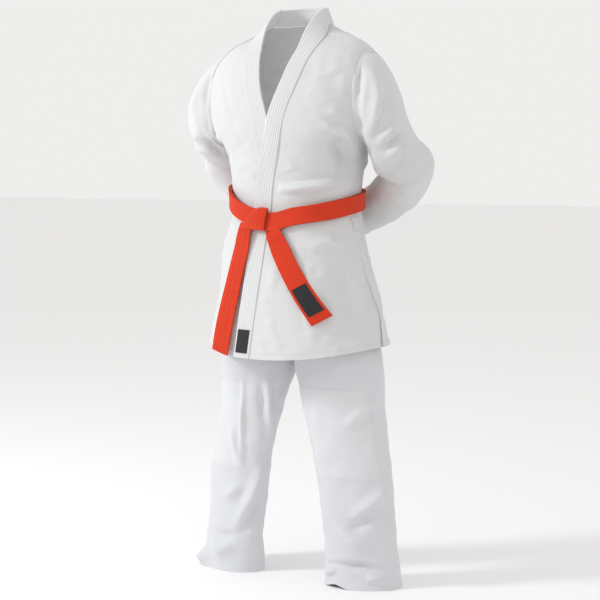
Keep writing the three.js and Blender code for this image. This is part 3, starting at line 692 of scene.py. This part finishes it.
SKIRT_FOLDS = (
    (6, 16, [(165, -23, 848), (139, -86, 842), (97, -120, 825)]),
    (7, 16, [(190, 10, 810), (212, 0, 718), (238, -20, 610)]),
    (-5, 20, [(160, -95, 800), (190, -95, 640)]),
    (4, 22, [(110, -130, 800), (130, -148, 600)]),
    (-4, 24, [(60, -140, 800), (72, -160, 600)]),
    (5, 20, [(-120, -120, 800), (-150, -130, 600)]),
    (-4, 22, [(-165, -85, 800), (-195, -90, 620)]),
    (7, 26, [(0, 146, 830), (10, 165, 640)]),
    (6, 24, [(-110, 120, 830), (-130, 135, 640)]),
    (6, 24, [(110, 120, 830), (130, 135, 640)]),
)
SLEEVE_FOLDS = {
    "left": (
        (7, 15, [(236, -55, 1248), (262, -68, 1185), (254, -72, 1125), (228, -62, 1085)]),
        (-10, 11, [(210, -66, 1262), (215, -78, 1195), (214, -73, 1120), (210, -36, 1070)]),
        (4, 12, [(285, -40, 1200), (300, -30, 1120)]),
        (7, 13, [(325, -10, 1085), (300, -34, 1062), (262, -36, 1040)]),
        (-6, 12, [(318, -25, 1108), (292, -44, 1080), (258, -44, 1058)]),
        (7, 13, [(312, -37, 1140), (295, -50, 1108), (252, -55, 1074)]),
        (7, 13, [(330, 37, 1030), (298, 22, 1006), (235, 45, 1000)]),
        (-6, 12, [(330, 20, 1050), (298, 0, 1030), (240, 10, 1015)]),
        (6, 14, [(290, 60, 950), (240, 80, 975)]),
        (6, 14, [(262, -20, 1246), (300, -20, 1200)]),
        (6, 15, [(320, 110, 1060), (280, 140, 1080), (240, 130, 1090)]),
        (6, 15, [(300, 140, 1000), (260, 160, 1030)]),
    ),
    "right": (
        (-6, 9, [(206, -60, 1262), (212, -78, 1195), (211, -70, 1120), (208, -40, 1084)]),
        (5, 15, [(232, -66, 1230), (250, -70, 1170), (240, -70, 1110)]),
        (-9, 13, [(235, -58, 1092), (222, -37, 1066), (212, 4, 1046)]),
        (5, 14, [(285, -30, 1120), (262, -50, 1096), (232, -60, 1108)]),
        (5, 14, [(300, 10, 1090), (280, -15, 1064), (245, -30, 1052)]),
        (6, 15, [(320, 110, 1090), (280, 140, 1100), (240, 130, 1110)]),
        (6, 15, [(300, 140, 1030), (260, 160, 1050)]),
    ),
}
LEG_FOLDS = {
    "left": (
        (7, 16, [(228, -20, 468), (200, -51, 424), (174, -63, 395)]),
        (-5, 14, [(228, -25, 440), (200, -48, 400)]),
        (8, 17, [(255, 2, 240), (224, -37, 205), (186, -55, 172)]),
        (-6, 15, [(250, -10, 200), (215, -40, 170), (180, -55, 140)]),
        (7, 15, [(150, -60, 150), (198, -53, 118), (240, -40, 100)]),
        (-8, 9, [(118, -53, 52), (180, -62, 58), (220, -51, 60), (262, -20, 45)]),
        (7, 11, [(112, -50, 32), (150, -66, 34)]),
        (9, 12, [(225, -55, 32), (262, -30, 26)]),
        (5, 15, [(96, -60, 500), (104, -52, 400), (112, -45, 330)]),
        (6, 18, [(220, 50, 460), (190, 66, 420), (150, 60, 390)]),
        (7, 20, [(240, 40, 230), (200, 60, 190), (150, 55, 170)]),
        (8, 16, [(250, 30, 90), (200, 62, 70), (140, 50, 80)]),
    ),
    "right": (
        (5, 8, [(111, -82, 500), (118, -70, 392), (124, -60, 276)]),
        (6, 14, [(158, -66, 372), (140, -65, 318), (128, -60, 268)]),
        (9, 16, [(78, -36, 272), (104, -49, 189), (142, -60, 118)]),
        (-6, 14, [(72, -36, 220), (98, -45, 150), (130, -58, 95)]),
        (5, 11, [(46, -61, 505), (52, -47, 424), (61, -29, 340)]),
        (-4, 10, [(64, -67, 490), (68, -48, 380)]),
        (6, 15, [(180, -58, 190), (150, -60, 205), (126, -58, 222)]),
        (20, 34, [(276, -52, 14), (262, -20, 10)]),
        (8, 18, [(240, -60, 70), (190, -62, 52), (150, -60, 66)]),
        (-6, 12, [(232, -60, 96), (180, -62, 88), (140, -58, 98)]),
        (6, 18, [(220, 50, 460), (190, 66, 420), (150, 60, 390)]),
        (7, 20, [(240, 40, 230), (200, 60, 190), (150, 55, 170)]),
        (8, 16, [(250, 30, 90), (200, 62, 70), (140, 50, 80)]),
    ),
}


def flip(points):
    """The same places on the other side of the body."""
    return points * np.array((-1.0, 1.0, 1.0))


def near_belt(points):
    """1 under the belt and 0 well above or below it."""
    height = belt_height(np.arctan2(points[..., 0], -points[..., 1]))
    away = np.abs(points[..., 2] - height)
    return 1 - smooth(away, 27, 46)


BELT_FRONT, BELT_BACK = 893, 950
BELT_DRAWN_UP = 27             # how much higher the belt is pulled on the wearer's right
KNOT_DIP = 9


def belt_height(angle):
    """The belt rises to the back; it is drawn higher on the wearer's right, and dips by the knot."""
    turned = np.arctan2(np.sin(angle), np.cos(angle))
    drawn = BELT_DRAWN_UP * smooth(-turned, 0.1, 1.05) * (1 - smooth(-turned, 1.3, 2.6))
    dip = KNOT_DIP * np.exp(-(((turned - 0.1) / 0.16) ** 2))
    return mix(BELT_FRONT, BELT_BACK, ((1 - np.cos(turned)) / 2) ** 0.6) + drawn - dip


def jacket_relief(points, mirror):
    """How far the jacket's cloth stands out or sinks at every point."""
    where = flip(points) if mirror else points
    relief = 1.9 * fold_height(where, JACKET_FOLDS + SKIRT_FOLDS)
    relief += 2.6 * rumple(where, 90, 3) + 1.4 * rumple(where, 38, 4)
    at_armhole = smooth(np.abs(where[..., 0]), 178, 198) * smooth(where[..., 2], 1040, 1080)
    loose = (1 - near_belt(where)) * (1 - at_armhole)
    hold_neck = 1 - smooth(where[..., 2], 1255, 1310)
    hold_waist = smooth(np.abs(where[..., 2] - WAIST_SEAM), 2, 26)
    return relief * loose * hold_neck * mix(0.35, 1, hold_waist)


# ---- the jacket's body and skirt ------------------------------------------------
BODY_TOP = NECK_LINE - 1.5
OPEN_SIDE = SIDE - 0.012       # a front skirt's side edge, just short of the slit
UNDERLAP = 0.10                # how far the back skirt reaches behind the front one
DRAWN_IN = 0.10                # the share by which the wearer's right side is drawn in
FLARE = 13                     # how far the back skirt stands out beyond the side slits


def jacket_grid(start, end, bottom, top, columns, rows):
    """Angles and stations of a piece of the jacket; start and end may depend on the station."""
    station = np.linspace(bottom, top, rows)[:, None]
    start = start(station) if callable(start) else start
    end = end(station) if callable(end) else end
    angle = mix(start, end, np.linspace(0, 1, columns)[None, :])
    return np.broadcast_arrays(angle, station)


def beside_band(station):
    """Where the front's cloth stops beside the lapel band."""
    gap = 5 * smooth(station, STAND_START, STAND_FULL) - 5
    return seam_angle(station) + gap / profile(JACKET_STATIONS, "front", station)


def jacket_piece(name, start, end, bottom, top, size, material, over=False, mirror=False,
                 raised=0.0, thickness=JACKET_CLOTH, armhole=False, seam=from_bottom):
    """A piece of the jacket between two angles and two stations; over passes it over the other front."""
    angle, station = jacket_grid(start, end, bottom, top, *size)
    points = jacket_point(angle, station)
    beside = smooth(np.abs(points[..., 0] - profile(LAPEL_EDGES, "seam", station)), 3, 30)
    relief = jacket_relief(points, mirror) * np.where(np.cos(angle) > 0, beside, 1)
    carried = wrap_lift(angle, station) if over else back_flare(angle, station)
    crossed = np.clip(wrap_lift(angle, station) / 3, 0, 1) * (np.cos(angle) > 0)
    kept_apart = np.minimum(relief, 0.5) if mirror else np.maximum(relief, -0.5)
    face = mix(relief, kept_apart, crossed) + carried + raised
    obj = slab(name, drawn_in(points, mirror), face, face - thickness, material, mirror=mirror, seam=seam)
    if armhole:
        cut_armhole(obj, mirror)
    return obj


def back_flare(angle, station):
    """The back skirt lies behind the front one at the side slits, and flares out beyond them."""
    from_side = SIDE - np.abs(angle - np.pi)
    tucked = -5.5 * smooth(from_side, -0.10, 0.03)
    flared = FLARE * np.exp(-(((from_side + 0.24) / 0.16) ** 2)) * smooth(850 - station, 0, 200)
    return np.where((np.cos(angle) < 0.11) & (station <= WAIST_SEAM), tucked + flared, 0)


def drawn_in(points, mirror):
    """Skirt and trousers hang closer to the leg on the wearer's right side."""
    side = -points[..., 0] * (-1 if mirror else 1)
    height = points[..., 2]
    share = DRAWN_IN * smooth(WAIST_SEAM - height, 0, 260) * smooth(height, 200, 520)
    share = share * smooth(side, 60, 220)
    points = points.copy()
    points[..., 0] *= 1 - share
    return points


def make_jacket_body():
    """Front and back panels with their shoulder and vent reinforcements."""
    back = jacket_piece("jacket_back_panel", SIDE, 3 * SIDE, WAIST_SEAM, BODY_TOP, (150, 120), jacket_cloth)
    made = [back]
    for side, mirror in (("left", False), ("right", True)):
        cut_armhole(back, mirror)
        made += [
            jacket_piece(f"jacket_front_{side}_panel", beside_band, SIDE, WAIST_SEAM, BODY_TOP, (90, 150),
                         jacket_cloth, over=not mirror, mirror=mirror, armhole=True),
            jacket_piece(f"shoulder_reinforcement_{side}", math.radians(56), math.radians(124),
                         1236, 1338, (60, 50), edged_cloth, mirror=mirror, raised=2.0,
                         thickness=1.8, armhole=True, seam=from_edges),
            jacket_piece(f"vent_reinforcement_{side}", math.radians(80), math.radians(100),
                         WAIST_SEAM + 3, WAIST_SEAM + 36, (26, 18), edged_cloth, mirror=mirror,
                         raised=2.0, thickness=1.6, seam=from_edges),
        ]
    return made


def make_skirt():
    """Two front skirts open at the sides, and the back skirt that reaches behind them."""
    made = []
    for side, mirror in (("left", False), ("right", True)):
        made.append(jacket_piece(f"skirt_front_{side}", beside_band, OPEN_SIDE, HEM_LINE, WAIST_SEAM,
                                 (90, 100), skirt_cloth, over=not mirror, mirror=mirror))
    made.append(jacket_piece("skirt_back", SIDE - UNDERLAP, 3 * SIDE + UNDERLAP, HEM_LINE, WAIST_SEAM,
                             (150, 100), skirt_cloth))
    return made


# ---- bands ---------------------------------------------------------------------
def rounded(share, reach):
    """1 over most of a width and falling to 0 at both edges."""
    edge = np.clip(np.minimum(share, 1 - share) / reach, 0, 1)
    return np.sqrt(1 - (1 - edge) ** 2)


def quilting(share, lines, depth, width=0.011):
    """Sunken stitch lines, evenly spaced across a band."""
    total = np.zeros_like(share)
    for line in range(1, lines + 1):
        total += depth * np.exp(-(((share - line / (lines + 1)) / width) ** 2))
    return total


def band_faces(share, thickness, lines, depth):
    """Outer and inner offsets of a padded, stitched band about its middle."""
    body = thickness / 2 * (0.35 + 0.65 * rounded(share, 0.07))
    return body - quilting(share, lines, depth), -body


def lapel(name, bottom, top, rows, mirror):
    """A run of a lapel band; the left one passes over the right one."""
    share, station = np.meshgrid(np.linspace(0, 1, 64), np.linspace(bottom, top, rows))
    points = lapel_point(share, station)
    outer, inner = band_faces(share, BAND_THICKNESS, LAPEL_LINES, 0.9)
    carried = 0 if mirror else wrap_lift(0, station)
    wave = 0.8 * rumple(points, 120, 21) * (1 - smooth(station, 1240, 1280))
    return slab(name, points, outer + carried + wave, inner + carried + wave, band_cloth,
                mirror=mirror, seam=along_and_across)


def make_bands():
    """The lapel bands, the collar band behind the neck, and the label on the left lapel."""
    made = []
    for side, mirror in (("left", False), ("right", True)):
        made.append(lapel(f"lapel_band_{side}_upper", WAIST_SEAM, NECK_LINE, 150, mirror))
        made.append(lapel(f"lapel_band_{side}_skirt", HEM_LINE, WAIST_SEAM, 80, mirror))
    angle, up = np.meshgrid(np.linspace(SIDE + 0.03, 3 * SIDE - 0.03, 90), np.linspace(0, 1, 64))
    outer, inner = band_faces(up, BAND_THICKNESS, LAPEL_LINES, 0.9)
    made.append(slab("collar_band_neck", collar_point(angle, up), outer, inner, band_cloth,
                     seam=across_and_along))
    across, height = np.meshgrid(np.linspace(0.14, 0.86, 16), np.linspace(572, 628, 26))
    on_band = WRAP_LIFT + BAND_THICKNESS / 2 + 0.4
    label = slab("lapel_label", lapel_point(across, height), on_band + 1, on_band - 0.4, label_cloth)
    return made + [label]


# ---- sleeves -------------------------------------------------------------------
def sleeve_grid(side, round_values, along_values):
    """Points of a folded sleeve; the left sleeve's frame is used for both sides."""
    around, along = np.meshgrid(round_values, along_values)
    points = sleeve_point(around, along, ARM_SHIFT[side])
    seed = 5 if side == "left" else 6
    relief = 1.35 * fold_height(points, SLEEVE_FOLDS[side]) + 2.0 * rumple(points, 85, seed)
    relief += 1.0 * rumple(points, 45, seed + 10)
    hold = smooth(along, 0.0, 0.05) * (1 - smooth(along, 0.93, 1.0))
    return points, relief * hold, along


CUFF_START, CUFF_END = 17 / 18, 0.998      # shares of the sleeve's length
GUSSET_START, GUSSET_END = 1.5 / 18, 4 / 18


def make_sleeve(side):
    """A sleeve with its cuff band and its underarm gusset."""
    mirror = side == "right"
    points, relief, along = sleeve_grid(side, np.linspace(0, 1, 145), np.linspace(0, 1, 170))

    def keep(face):
        """Only the forearm, behind the back, may come closer to the middle than the armhole."""
        face[..., 0] = np.where(along < 0.3, np.maximum(face[..., 0], SEWN_X), face[..., 0])
        return face

    sleeve = slab(f"sleeve_{side}", points, relief, relief - JACKET_CLOTH, jacket_cloth, ring=True,
                  mirror=mirror, seam=from_top, keep=keep)
    points, relief, _ = sleeve_grid(side, np.linspace(0, 1, 145), np.linspace(CUFF_START, CUFF_END, 10))
    cuff = slab(f"cuff_band_{side}", points, relief + 2.6, relief + 0.4, edged_cloth, ring=True,
                mirror=mirror, seam=from_edges)
    points, relief, _ = sleeve_grid(side, np.linspace(0.4, 0.6, 30),
                                    np.linspace(GUSSET_START, GUSSET_END, 24))
    gusset = slab(f"underarm_gusset_{side}", points, relief + 2.2, relief + 0.4, edged_cloth,
                  mirror=mirror, seam=from_edges)
    return sleeve, cuff, gusset


ALLOWANCE_GAP = 5.0            # how far the seam allowance lies inside the armhole


def make_armhole_web(side):
    """The sleeve's seam allowance: a narrow ring inside the armhole that joins body and sleeve."""
    around, reach = np.meshgrid(np.linspace(0, 1, 121), np.linspace(0, 1, 22))
    points = armhole_point(around % 1)
    middle = points.mean(axis=(0, 1))
    inward = middle - points
    inward[..., 0] = 0
    inward /= np.linalg.norm(inward, axis=-1, keepdims=True)
    points = points + ALLOWANCE_GAP * inward
    points[..., 0] = mix(ARMHOLE_X - 8, ARMHOLE_X + 10, reach)
    return slab(f"armhole_seam_allowance_{side}", points, 0, -1.0, jacket_cloth, ring=True,
                mirror=side == "right")


# ---- belt ----------------------------------------------------------------------
def belt_lift(angle):
    """How far the belt stands off the jacket, which is thicker where the fronts cross."""
    turned = np.abs(np.arctan2(np.sin(angle), np.cos(angle)))
    front = 1 - smooth(turned, math.radians(30), math.radians(62))
    return BELT_CLEARANCE + (WRAP_LIFT + BAND_THICKNESS / 2) * front


BELT_QUILTING = 0.75           # the depth of its stitch lines
SECOND_TURN = BELT_THICKNESS + 0.2
BELT_FACE = BELT_CLEARANCE + WRAP_LIFT + BAND_THICKNESS / 2 + SECOND_TURN + BELT_THICKNESS


def along_and_across(across, up):
    """Seam coordinates of a band: metres along it, and its share across from 0 to 1."""
    return np.stack([up, across / across.max()], axis=-1)


def across_and_along(across, up):
    """Seam coordinates of a band that runs sideways."""
    return np.stack([across, up / up.max()], axis=-1)


def belt_turn(name, extra):
    """One turn of the belt round the waist, standing extra millimetres off the jacket."""
    share, turn = np.meshgrid(np.linspace(0, 1, 64), np.linspace(0, 1, 240))
    angle = 2 * math.pi * turn
    height = belt_height(angle) + BELT_WIDTH * (share - 0.5)
    points = np.transpose(jacket_point(angle, height), (1, 0, 2))
    middle = belt_lift(angle) + extra + BELT_THICKNESS / 2
    outer, inner = (np.transpose(middle + face)
                    for face in band_faces(share, BELT_THICKNESS, BELT_LINES, BELT_QUILTING))
    return slab(name, points, outer, inner, belt_cloth, ring=True, seam=across_and_along)


def front_strip(points_x, points_z):
    """Places on the jacket's front with the given sideways places and heights."""
    return jacket_point(front_angle(points_x, points_z), points_z)


BELT_ENDS = {
    "right": {"from": (-49, 878), "to": (-109, 563)},
    "left": {"from": (14, 876), "to": (147, 650)},
}
END_OFFSET = WRAP_LIFT + BAND_THICKNESS / 2 + 3.0
TIP_STITCHES = (13, 5)         # rows of stitching this far from each tip


def end_middle(down, side):
    """The right end falls from the knot's face; the left one comes out from under the belt."""
    lying = END_OFFSET + BELT_THICKNESS / 2
    waves = 0.8 * np.sin(down / 34)
    if side == "right":
        return mix(BELT_FACE + 1.0, lying, smooth(down, 14, 66)) + waves
    return lying + 3.5 * np.exp(-(((down - 26) / 14) ** 2)) + waves


def hanging_end(side, start=0.0, stop=1.0, edge=(0.0, 1.0), columns=64, rows=120):
    """A grid down a belt end, with its share across, its millimetres down, and the whole length."""
    (from_x, from_z), (to_x, to_z) = BELT_ENDS[side]["from"], BELT_ENDS[side]["to"]
    length = math.hypot(to_x - from_x, to_z - from_z)
    run_x, run_z = (to_x - from_x) / length, (to_z - from_z) / length
    share, down = np.meshgrid(np.linspace(*edge, columns), np.linspace(stop, start, rows) * length)
    sideways = BELT_WIDTH * (share - 0.5) * mix(0.78, 1, smooth(down, 0, 70))
    curve = 5 * np.sin(math.pi * down / length)
    x = from_x + run_x * down - run_z * sideways + curve * run_z
    z = from_z + run_z * down + run_x * sideways - curve * run_x
    return front_strip(x, z), share, down, length


def make_belt():
    """Two turns, two hanging ends, and the label on the left end."""
    made = {
        "inner": belt_turn("belt_wrap_inner", 0),
        "outer": belt_turn("belt_wrap_outer", SECOND_TURN),
    }
    for side in BELT_ENDS:
        points, share, down, length = hanging_end(side)
        outer, inner = band_faces(share, BELT_THICKNESS, BELT_LINES, BELT_QUILTING)
        tip = length - down
        for row in TIP_STITCHES:
            outer = outer - 0.9 * np.exp(-(((tip - row) / 0.9) ** 2))
        closing = 0.45 + 0.55 * np.sqrt(1 - (1 - np.clip(tip / 2.5, 0, 1)) ** 2)
        middle = end_middle(down, side)
        if side == "right":
            middle = middle + 9 * (0.6 - share) * smooth(down, 60, 260)
        made[side] = slab(f"belt_end_{side}", points, middle + outer * closing,
                          middle + inner * closing, belt_cloth, seam=along_and_across)
    points, _, down, _ = hanging_end("left", 0.62, 0.915, (0.13, 0.87), 30, 50)
    face = end_middle(down, "left") + BELT_THICKNESS / 2
    made["label"] = slab("belt_end_label", points, face + 1.0, face - 0.6, label_cloth)
    return made


def make_knot():
    """One turn of the belt drawn upright over both bands, rounded over its top and bottom."""
    share, up = np.meshgrid(np.linspace(0, 1, 64), np.linspace(0, 1, 70))
    left = mix(-68, -35, up**0.6)
    right = mix(3, 7, up)
    bottom = mix(866, 863, share)
    top = mix(912, 919, share) + 6 * np.sin(math.pi * share)
    z = mix(bottom, top, up)
    points = front_strip(mix(left, right, share), z)
    full = np.sin(math.pi * up) ** 0.45
    bulge = 3 + 11 * full * (0.4 + 0.6 * np.sin(math.pi * share) ** 0.45)
    outer = BELT_FACE + bulge - quilting(share, BELT_LINES, BELT_QUILTING) * full
    return slab("belt_knot", points, outer, BELT_FACE + 0.4, belt_cloth, seam=along_and_across)


# ---- trousers ------------------------------------------------------------------
LEG_TOP, HEM_HEIGHT = 964.6, 32.5
KNEE_ACROSS = (0.22, 0.86)     # the knee patch's sides, as shares across the front of the leg
KNEE_HEIGHT = (268, 488)
ARCH_HEIGHT, ARCH_MIDDLE, ARCH_WIDTH = 9, 148, 24


def leg_relief(points, side, height):
    """How far the trousers' cloth stands out or sinks at every point."""
    seed = 7 if side == "left" else 8
    relief = 1.4 * fold_height(points, LEG_FOLDS[side]) + 2.6 * rumple(points, 120, seed, (1, 1, 0.6))
    relief += 1.5 * rumple(points, 55, seed + 10)
    low = mix(0.35, 1, smooth(height, 0, 20))
    return relief * low * (1 - smooth(height, 560, 720)) - 1.0 * smooth(height, 560, 720)


def trouser_panel(side, facing):
    """The front or the back of one leg, from the hem to the waistband."""
    share, height = np.meshgrid(np.linspace(0, 1, 80), np.linspace(32, LEG_TOP, 210))
    across = 1 - share if facing == "front" else share
    points = leg_point(across, height, facing)
    relief = leg_relief(points, side, height)
    points = right_leg_drawn_in(points, side)

    def keep(face):
        face[..., 0] = np.maximum(face[..., 0], 0)
        return hem_arch(face, side)

    return slab(f"trouser_{side}_{facing}_panel", points, relief, relief - TROUSER_CLOTH,
                trouser_cloth, mirror=side == "right", seam=from_top, keep=keep)


def right_leg_drawn_in(points, side):
    """Both legs are made as the left one, so only the right leg is drawn in as it will lie."""
    return drawn_in(points, True) if side == "right" else points


def hem_arch(points, side):
    """The left hem is caught up in front, so that a low arch opens under it."""
    if side == "left":
        front = 1 - smooth(points[..., 1], -30, 0)
        arch = ARCH_HEIGHT * np.exp(-(((points[..., 0] - ARCH_MIDDLE) / ARCH_WIDTH) ** 2)) * front
        points[..., 2] += arch * (1 - smooth(points[..., 2], 8, 90))
    return points


def knee_patch(side):
    """A patch sewn flat on the front of the leg; its edges are thin."""
    (near, far), (low, high) = KNEE_ACROSS, KNEE_HEIGHT
    share, height = np.meshgrid(np.linspace(far, near, 60), np.linspace(low, high, 70))
    points = leg_point(share, height, "front")
    relief = leg_relief(points, side, height) + 0.1
    from_side = np.minimum(share - near, far - share) * 250
    from_border = np.minimum(from_side, np.minimum(height - low, high - height))
    thickness = mix(0.25, 0.95, smooth(from_border, 0, 6))
    return slab(f"knee_patch_{side}", right_leg_drawn_in(points, side), relief + thickness, relief,
                patch_cloth, mirror=side == "right", seam=from_edges)


def trouser_hem(side):
    """The turned-up ring of doubled cloth at the bottom of one leg."""
    turn, height = np.meshgrid(np.linspace(0, 1, 161), np.linspace(0, HEM_HEIGHT, 16))
    front = leg_point(1 - 2 * np.clip(turn, 0, 0.5), height, "front")
    back = leg_point(2 * np.clip(turn, 0.5, 1) - 1, height, "back")
    points = np.where((turn < 0.5)[..., None], front, back)
    relief = leg_relief(points, side, height)
    return slab(f"trouser_hem_{side}", points, relief, relief - 2 * TROUSER_CLOTH, hem_cloth,
                ring=True, mirror=side == "right", seam=from_bottom,
                keep=lambda face: hem_arch(face, side))


def make_waistband():
    """The gathered waistband and the two stitched loops on its front."""
    turn, up = np.meshgrid(np.linspace(0, 1, 161), np.linspace(0, 1, 16))
    points = hip_point(2 * math.pi * turn, mix(965, 1003, up))
    gather = 0.7 * np.sin(turn * 2 * math.pi * 60)
    made = [slab("trouser_waistband", points, 0.6 + gather, gather - 3, trouser_cloth, ring=True)]
    for side, x in (("left", 22), ("right", -22)):
        across, height = np.meshgrid(np.linspace(-5, 5, 12), np.linspace(0, 1, 30))
        points = hip_point(np.arcsin((x + across) / 148), mix(969, 999, height))
        bulge = 2.2 + 5 * np.sin(math.pi * height) ** 0.6
        made.append(slab(f"drawstring_loop_{side}", points, bulge + 1.4, bulge, trouser_cloth))
    return made


# ---- build, and hand most pieces to a CAD body; the skirts, belt ends and armhole webs are left unparented ---
def metres(x, y, z):
    """One place in the frame, from millimetres about the body's axis."""
    return tuple(float(value) for value in place((x, y, z)))


def node_of(obj):
    """The CAD node that a piece stands for."""
    return obj.name.removesuffix(CLOTH)


def stand_for(obj, slot):
    """Puts a piece in the place of its CAD node."""
    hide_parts(node_of(obj))


JACKET, BAND, TROUSER = "woven_jacket_cotton", "quilted_band_cotton", "trouser_twill"
BELT, LABEL = "belt_cotton", "blank_label"

for piece in make_jacket_body():
    stand_for(piece, JACKET)
    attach(piece, "uniform")

SKIRT_BODIES = {"skirt_back": "back_skirt", "lapel_band_left_skirt": "front_skirt",
                "lapel_band_right_skirt": "front_skirt", "skirt_front_left": "front_skirt",
                "skirt_front_right": "front_skirt"}
for piece in make_skirt() + make_bands():
    stand_for(piece, LABEL if "label" in piece.name else BAND if "band" in piece.name else JACKET)
    if node_of(piece) in SKIRT_BODIES:
        body = SKIRT_BODIES[node_of(piece)]
        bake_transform(piece)
    else:
        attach(piece, "front_skirt" if node_of(piece) == "lapel_label" else "uniform")

for side_name in ("left", "right"):
    for piece in make_sleeve(side_name):
        stand_for(piece, JACKET)
        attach(piece, f"{side_name}_sleeve")
    web = make_armhole_web(side_name)
    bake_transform(web)

belt = make_belt()
belt["knot"] = make_knot()
for part, piece in belt.items():
    stand_for(piece, LABEL if part == "label" else BELT)
    if part in ("left", "right"):
        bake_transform(piece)
    else:
        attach(piece, "left_belt_end" if part == "label" else "uniform")

for side_name in ("left", "right"):
    panels = [trouser_panel(side_name, "front"), trouser_panel(side_name, "back")]
    for piece in panels + [knee_patch(side_name), trouser_hem(side_name)]:
        stand_for(piece, TROUSER)
        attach(piece, "uniform")
for piece in make_waistband():
    stand_for(piece, TROUSER)
    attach(piece, "uniform")


# ---- floor, light and camera ------------------------------------------------------
CAMERA_AZIMUTH, CAMERA_ELEVATION, CAMERA_DISTANCE = 31, 5, 4.0


def make_floor():
    """A plain pale floor, larger than any view of it."""
    mesh = bpy.data.meshes.new("floor")
    reach = 30
    corners = [(-reach, -reach, 0), (reach, -reach, 0), (reach, reach, 0), (-reach, reach, 0)]
    mesh.from_pydata(corners, [], [(0, 1, 2, 3)])
    paint = bpy.data.materials.new("floor paint")
    paint.use_nodes = True
    surface = paint.node_tree.nodes["Principled BSDF"]
    surface.inputs["Base Color"].default_value = (0.93, 0.93, 0.93, 1)
    surface.inputs["Roughness"].default_value = 0.95
    mesh.materials.append(paint)
    put("floor", mesh)


def toward(azimuth, elevation):
    """A direction, from degrees round from the front and degrees up."""
    turn, rise = math.radians(azimuth), math.radians(elevation)
    return Vector((math.sin(turn) * math.cos(rise), -math.cos(turn) * math.cos(rise), math.sin(rise)))


def aim(obj, target):
    """Points a lamp or a camera at a place."""
    obj.rotation_mode = "QUATERNION"
    obj.rotation_quaternion = (Vector(target) - obj.location).to_track_quat("-Z", "Y")


def area_light(name, azimuth, elevation, distance, size, power):
    """A soft round lamp that looks at the middle of the uniform."""
    data = bpy.data.lights.new(name, "AREA")
    data.shape = "DISK"
    data.size = size
    data.energy = power
    data.color = (0.94, 0.97, 1.0)
    obj = put(name, data)
    obj.location = Vector((0, 0, 0.7)) + distance * toward(azimuth, elevation)
    aim(obj, (0, 0, 0.75))


def neck_light():
    """A small soft lamp inside the jacket, so that the inside of the neck isn't a dark hole."""
    data = bpy.data.lights.new("neck", "POINT")
    data.shadow_soft_size = 0.04
    data.energy = 0.3
    put("neck", data).location = metres(0, -20, 1190)


def make_camera():
    """A long lens, from the wearer's left and a little above the belt."""
    data = bpy.data.cameras.new("camera")
    data.lens = 97.1
    data.sensor_width = 36
    data.shift_x = 0.005
    obj = put("camera", data)
    target = Vector(metres(0, 0, 690))
    obj.location = target + CAMERA_DISTANCE * toward(CAMERA_AZIMUTH, CAMERA_ELEVATION)
    aim(obj, target)
    bpy.context.scene.camera = obj


def make_world():
    """Even, nearly white light from all round."""
    world = bpy.data.worlds.new("studio")
    world.use_nodes = True
    background = world.node_tree.nodes["Background"]
    background.inputs["Color"].default_value = (1.0, 0.99, 0.98, 1)
    background.inputs["Strength"].default_value = 0.86
    bpy.context.scene.world = world
    bpy.context.scene.view_settings.view_transform = "Standard"


make_floor()
area_light("key", -46, 30, 3.6, 0.7, 60)
area_light("fill", 100, 25, 4.5, 2.0, 4)
neck_light()
make_camera()
make_world()
